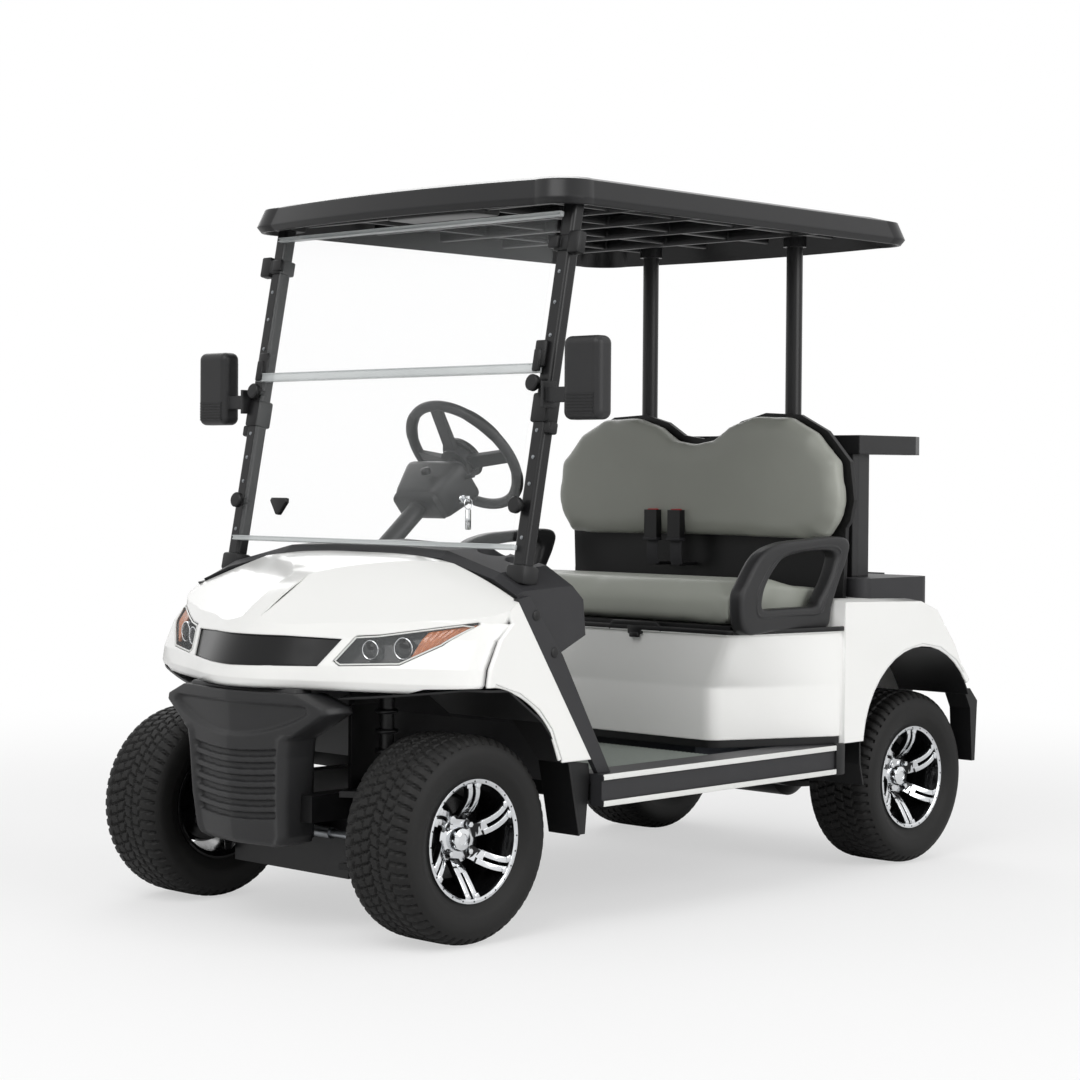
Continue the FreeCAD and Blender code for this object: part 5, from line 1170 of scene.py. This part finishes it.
def wheel_grips():
    """Four thicker grips on the steering wheel's rim, and its plain hub."""
    form = Form()
    turn = facing(HAND_WHEEL, COLUMN_AXIS)
    for start in (-38, 38, 142, 218):
        line = []
        for step in range(13):
            angle = math.radians(start - 22 + 44 * step / 12)
            line.append(turn @ (Vector((math.cos(angle), math.sin(angle), 0)) * HAND_WHEEL_RADIUS))
        form.sweep(line, circle(15.8, 16), up=COLUMN_AXIS, shrink=lambda t: 1 - 0.25 * abs(2 * t - 1) ** 4)
    form.lathe([(0, 0), (58, 0), (62, 6), (58, 16), (40, 22), (0, 24)],
               facing(HAND_WHEEL - COLUMN_AXIS * 14, COLUMN_AXIS), 40)
    piece("wheel_grips", form, BLACK, "hand_wheel_body")


# Floor and sills

def sill_trim():
    """Pale strips along the sills, and the black blocks at their rear ends."""
    low, high = (Vector(corner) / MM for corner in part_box("sills"))
    strips = Form()
    ends = Form()
    for side in BOTH:
        for bottom in (280, 340):
            inner, outer = sorted((side * (high.x - 3), side * (high.x + 0.6)))
            strips.block((inner, low.y + 1, bottom - 0.5), (outer, high.y - 34, bottom + 12.5), 1.2)
        inner, outer = sorted((side * (high.x - 12), side * (high.x + 1)))
        ends.block((inner, high.y - 34, 276), (outer, high.y + 2, 356), 4)
    piece("sill_strips", strips, PALE_STRIP, "chassis")
    piece("sill_ends", ends, BLACK, "chassis")


def floor_mat():
    """The mat on the floor, and its fine ribs."""
    mat = Form()
    mat.block((-462, -424, 335.2), (462, 92, 338.6), 1.2)
    piece("floor_mat", mat, MAT, "chassis")
    ribs = [(x, -166, 339.2) for x in range(-448, 449, 14)]
    sizes = {"Length": 5, "Width": 506, "Height": 2.4}
    mesh = repeated("mat_ribs", ribs, [(0, 0, 1)] * len(ribs), rib_bar, sizes)
    placed("mat_ribs", mesh, MAT, "chassis")


def strip_plugs():
    """Round plugs over the side strips' screws."""
    form = Form()
    plug = [(0, -2), (12, -2), (12, 1.2), (10, 2.2), (0, 2.6)]
    for side in BOTH:
        for y, z in ((-676, 719), (-616, 634)):
            form.lathe(plug, facing((side * 560, y, z), (side, 0, 0)), 28)
    piece("strip_plugs", form, BLACK, "chassis")


def tail_lamps():
    """Red lenses with chrome rims on the rear corners."""
    lens = Form()
    ring = Form()
    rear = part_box("lamp_lenses")[1][1] / MM
    lean = Matrix.Rotation(math.radians(14), 4, "X")
    for side in BOTH:
        place = Matrix.Translation((side * 506, rear - 23, 590)) @ lean
        lens.block((-11.5, -20, -41), (11.5, 9.5, 41), 5, place)
        line = [place @ Vector((x, 6.5, z)) for x, z in rounded(27, 92, 8)]
        ring.sweep(line, circle(2.4, 8), up=place.to_3x3() @ Vector((0, 1, 0)), closed=True)
    piece("tail_lenses", lens, RED_LENS, "chassis")
    piece("tail_rims", ring, CHROME, "chassis")


# Studio and camera

FLOOR_REACH = 60.0
LAMPS = (("key", (1.5, -5.0, 5.5), 4.5, 190),
         ("fill", (6.0, 0.5, 3.0), 4.0, 150),
         ("rim", (-5.0, 3.0, 4.5), 4.0, 80))


def studio():
    """A pale floor that melts into the white round it, and plain soft lamps."""
    mesh = bpy.data.meshes.new("studio_floor")
    corners = ((-1, -1), (1, -1), (1, 1), (-1, 1))
    mesh.from_pydata([(x * FLOOR_REACH, y * FLOOR_REACH, 0) for x, y in corners], [], [(0, 1, 2, 3)])
    floor = bpy.data.objects.new("studio_floor", mesh)
    SCENE.collection.objects.link(floor)
    material, tree, shader = surface("studio_floor", "#F4F4F4", 0.9)
    place = add(tree, "ShaderNodeTexCoord")
    away = add(tree, "ShaderNodeVectorMath", {0: place.outputs["Object"]}, operation="LENGTH")
    fade = add(tree, "ShaderNodeMapRange", {"Value": away.outputs["Value"]},
               interpolation_type="SMOOTHSTEP")
    for name, value in (("From Min", 1.6), ("From Max", 5.0), ("To Min", 0.55), ("To Max", 1.0)):
        fade.inputs[name].default_value = value
    rays = add(tree, "ShaderNodeLightPath")
    share = add(tree, "ShaderNodeMath", {0: fade.outputs["Result"], 1: rays.outputs["Is Camera Ray"]},
                operation="MULTIPLY")
    glow = add(tree, "ShaderNodeEmission", Color=linear("#FFFFFF"), Strength=1.0)
    mix = add(tree, "ShaderNodeMixShader", {"Fac": share.outputs[0], 1: shader.outputs["BSDF"],
                                            2: glow.outputs["Emission"]})
    tree.links.new(mix.outputs["Shader"], tree.nodes["Material Output"].inputs["Surface"])
    floor.data.materials.append(material)
    world = bpy.data.worlds.new("studio")
    world.use_nodes = True
    SCENE.world = world
    tree = world.node_tree
    back = tree.nodes["Background"]
    back.inputs["Color"].default_value = linear("#FFFFFF")
    rays = add(tree, "ShaderNodeLightPath")
    either = add(tree, "ShaderNodeMath", {
        0: rays.outputs["Is Camera Ray"], 1: rays.outputs["Is Glossy Ray"]}, operation="MAXIMUM")
    every = add(tree, "ShaderNodeMath", {
        0: either.outputs[0], 1: rays.outputs["Is Transmission Ray"]}, operation="MAXIMUM")
    level = add(tree, "ShaderNodeMapRange", {"Value": every.outputs[0]})
    level.inputs["To Min"].default_value = 0.5
    level.inputs["To Max"].default_value = 1.0
    tree.links.new(level.outputs["Result"], back.inputs["Strength"])
    for name, spot, size, power in LAMPS:
        light = bpy.data.lights.new(name, "AREA")
        light.size = size
        light.energy = power
        lamp = bpy.data.objects.new(name, light)
        lamp.location = spot
        aim = Vector((0, 0, 0.8)) - lamp.location
        lamp.rotation_euler = aim.to_track_quat("-Z", "Y").to_euler()
        SCENE.collection.objects.link(lamp)


def camera():
    """The photograph's view: three quarters from the front left, near eye level."""
    azimuth, pitch, roll = (math.radians(v) for v in (43.61, -1.17, 0.41))
    lens = bpy.data.cameras.new("view")
    lens.sensor_width = 36
    lens.lens = 80.2
    lens.shift_y = -0.0128
    eye = bpy.data.objects.new("view", lens)
    eye.matrix_world = (Matrix.Translation((4.226, -4.515, 1.025)) @ Matrix.Rotation(azimuth, 4, "Z")
                        @ Matrix.Rotation(math.pi / 2 + pitch, 4, "X") @ Matrix.Rotation(roll, 4, "Z"))
    SCENE.collection.objects.link(eye)
    SCENE.camera = eye
    SCENE.view_settings.view_transform = "Standard"


dress_nodes()
wheels()
rear_shell()
box_trim()
front_arch_lips()
armrest_mouldings()
seats()
belts()
lamps()
bumper()
screen_hardware()
mirror_trim()
roof_ribs()
column_hood()
key_and_fob()
wheel_grips()
sill_trim()
floor_mat()
strip_plugs()
tail_lamps()
studio()
camera()
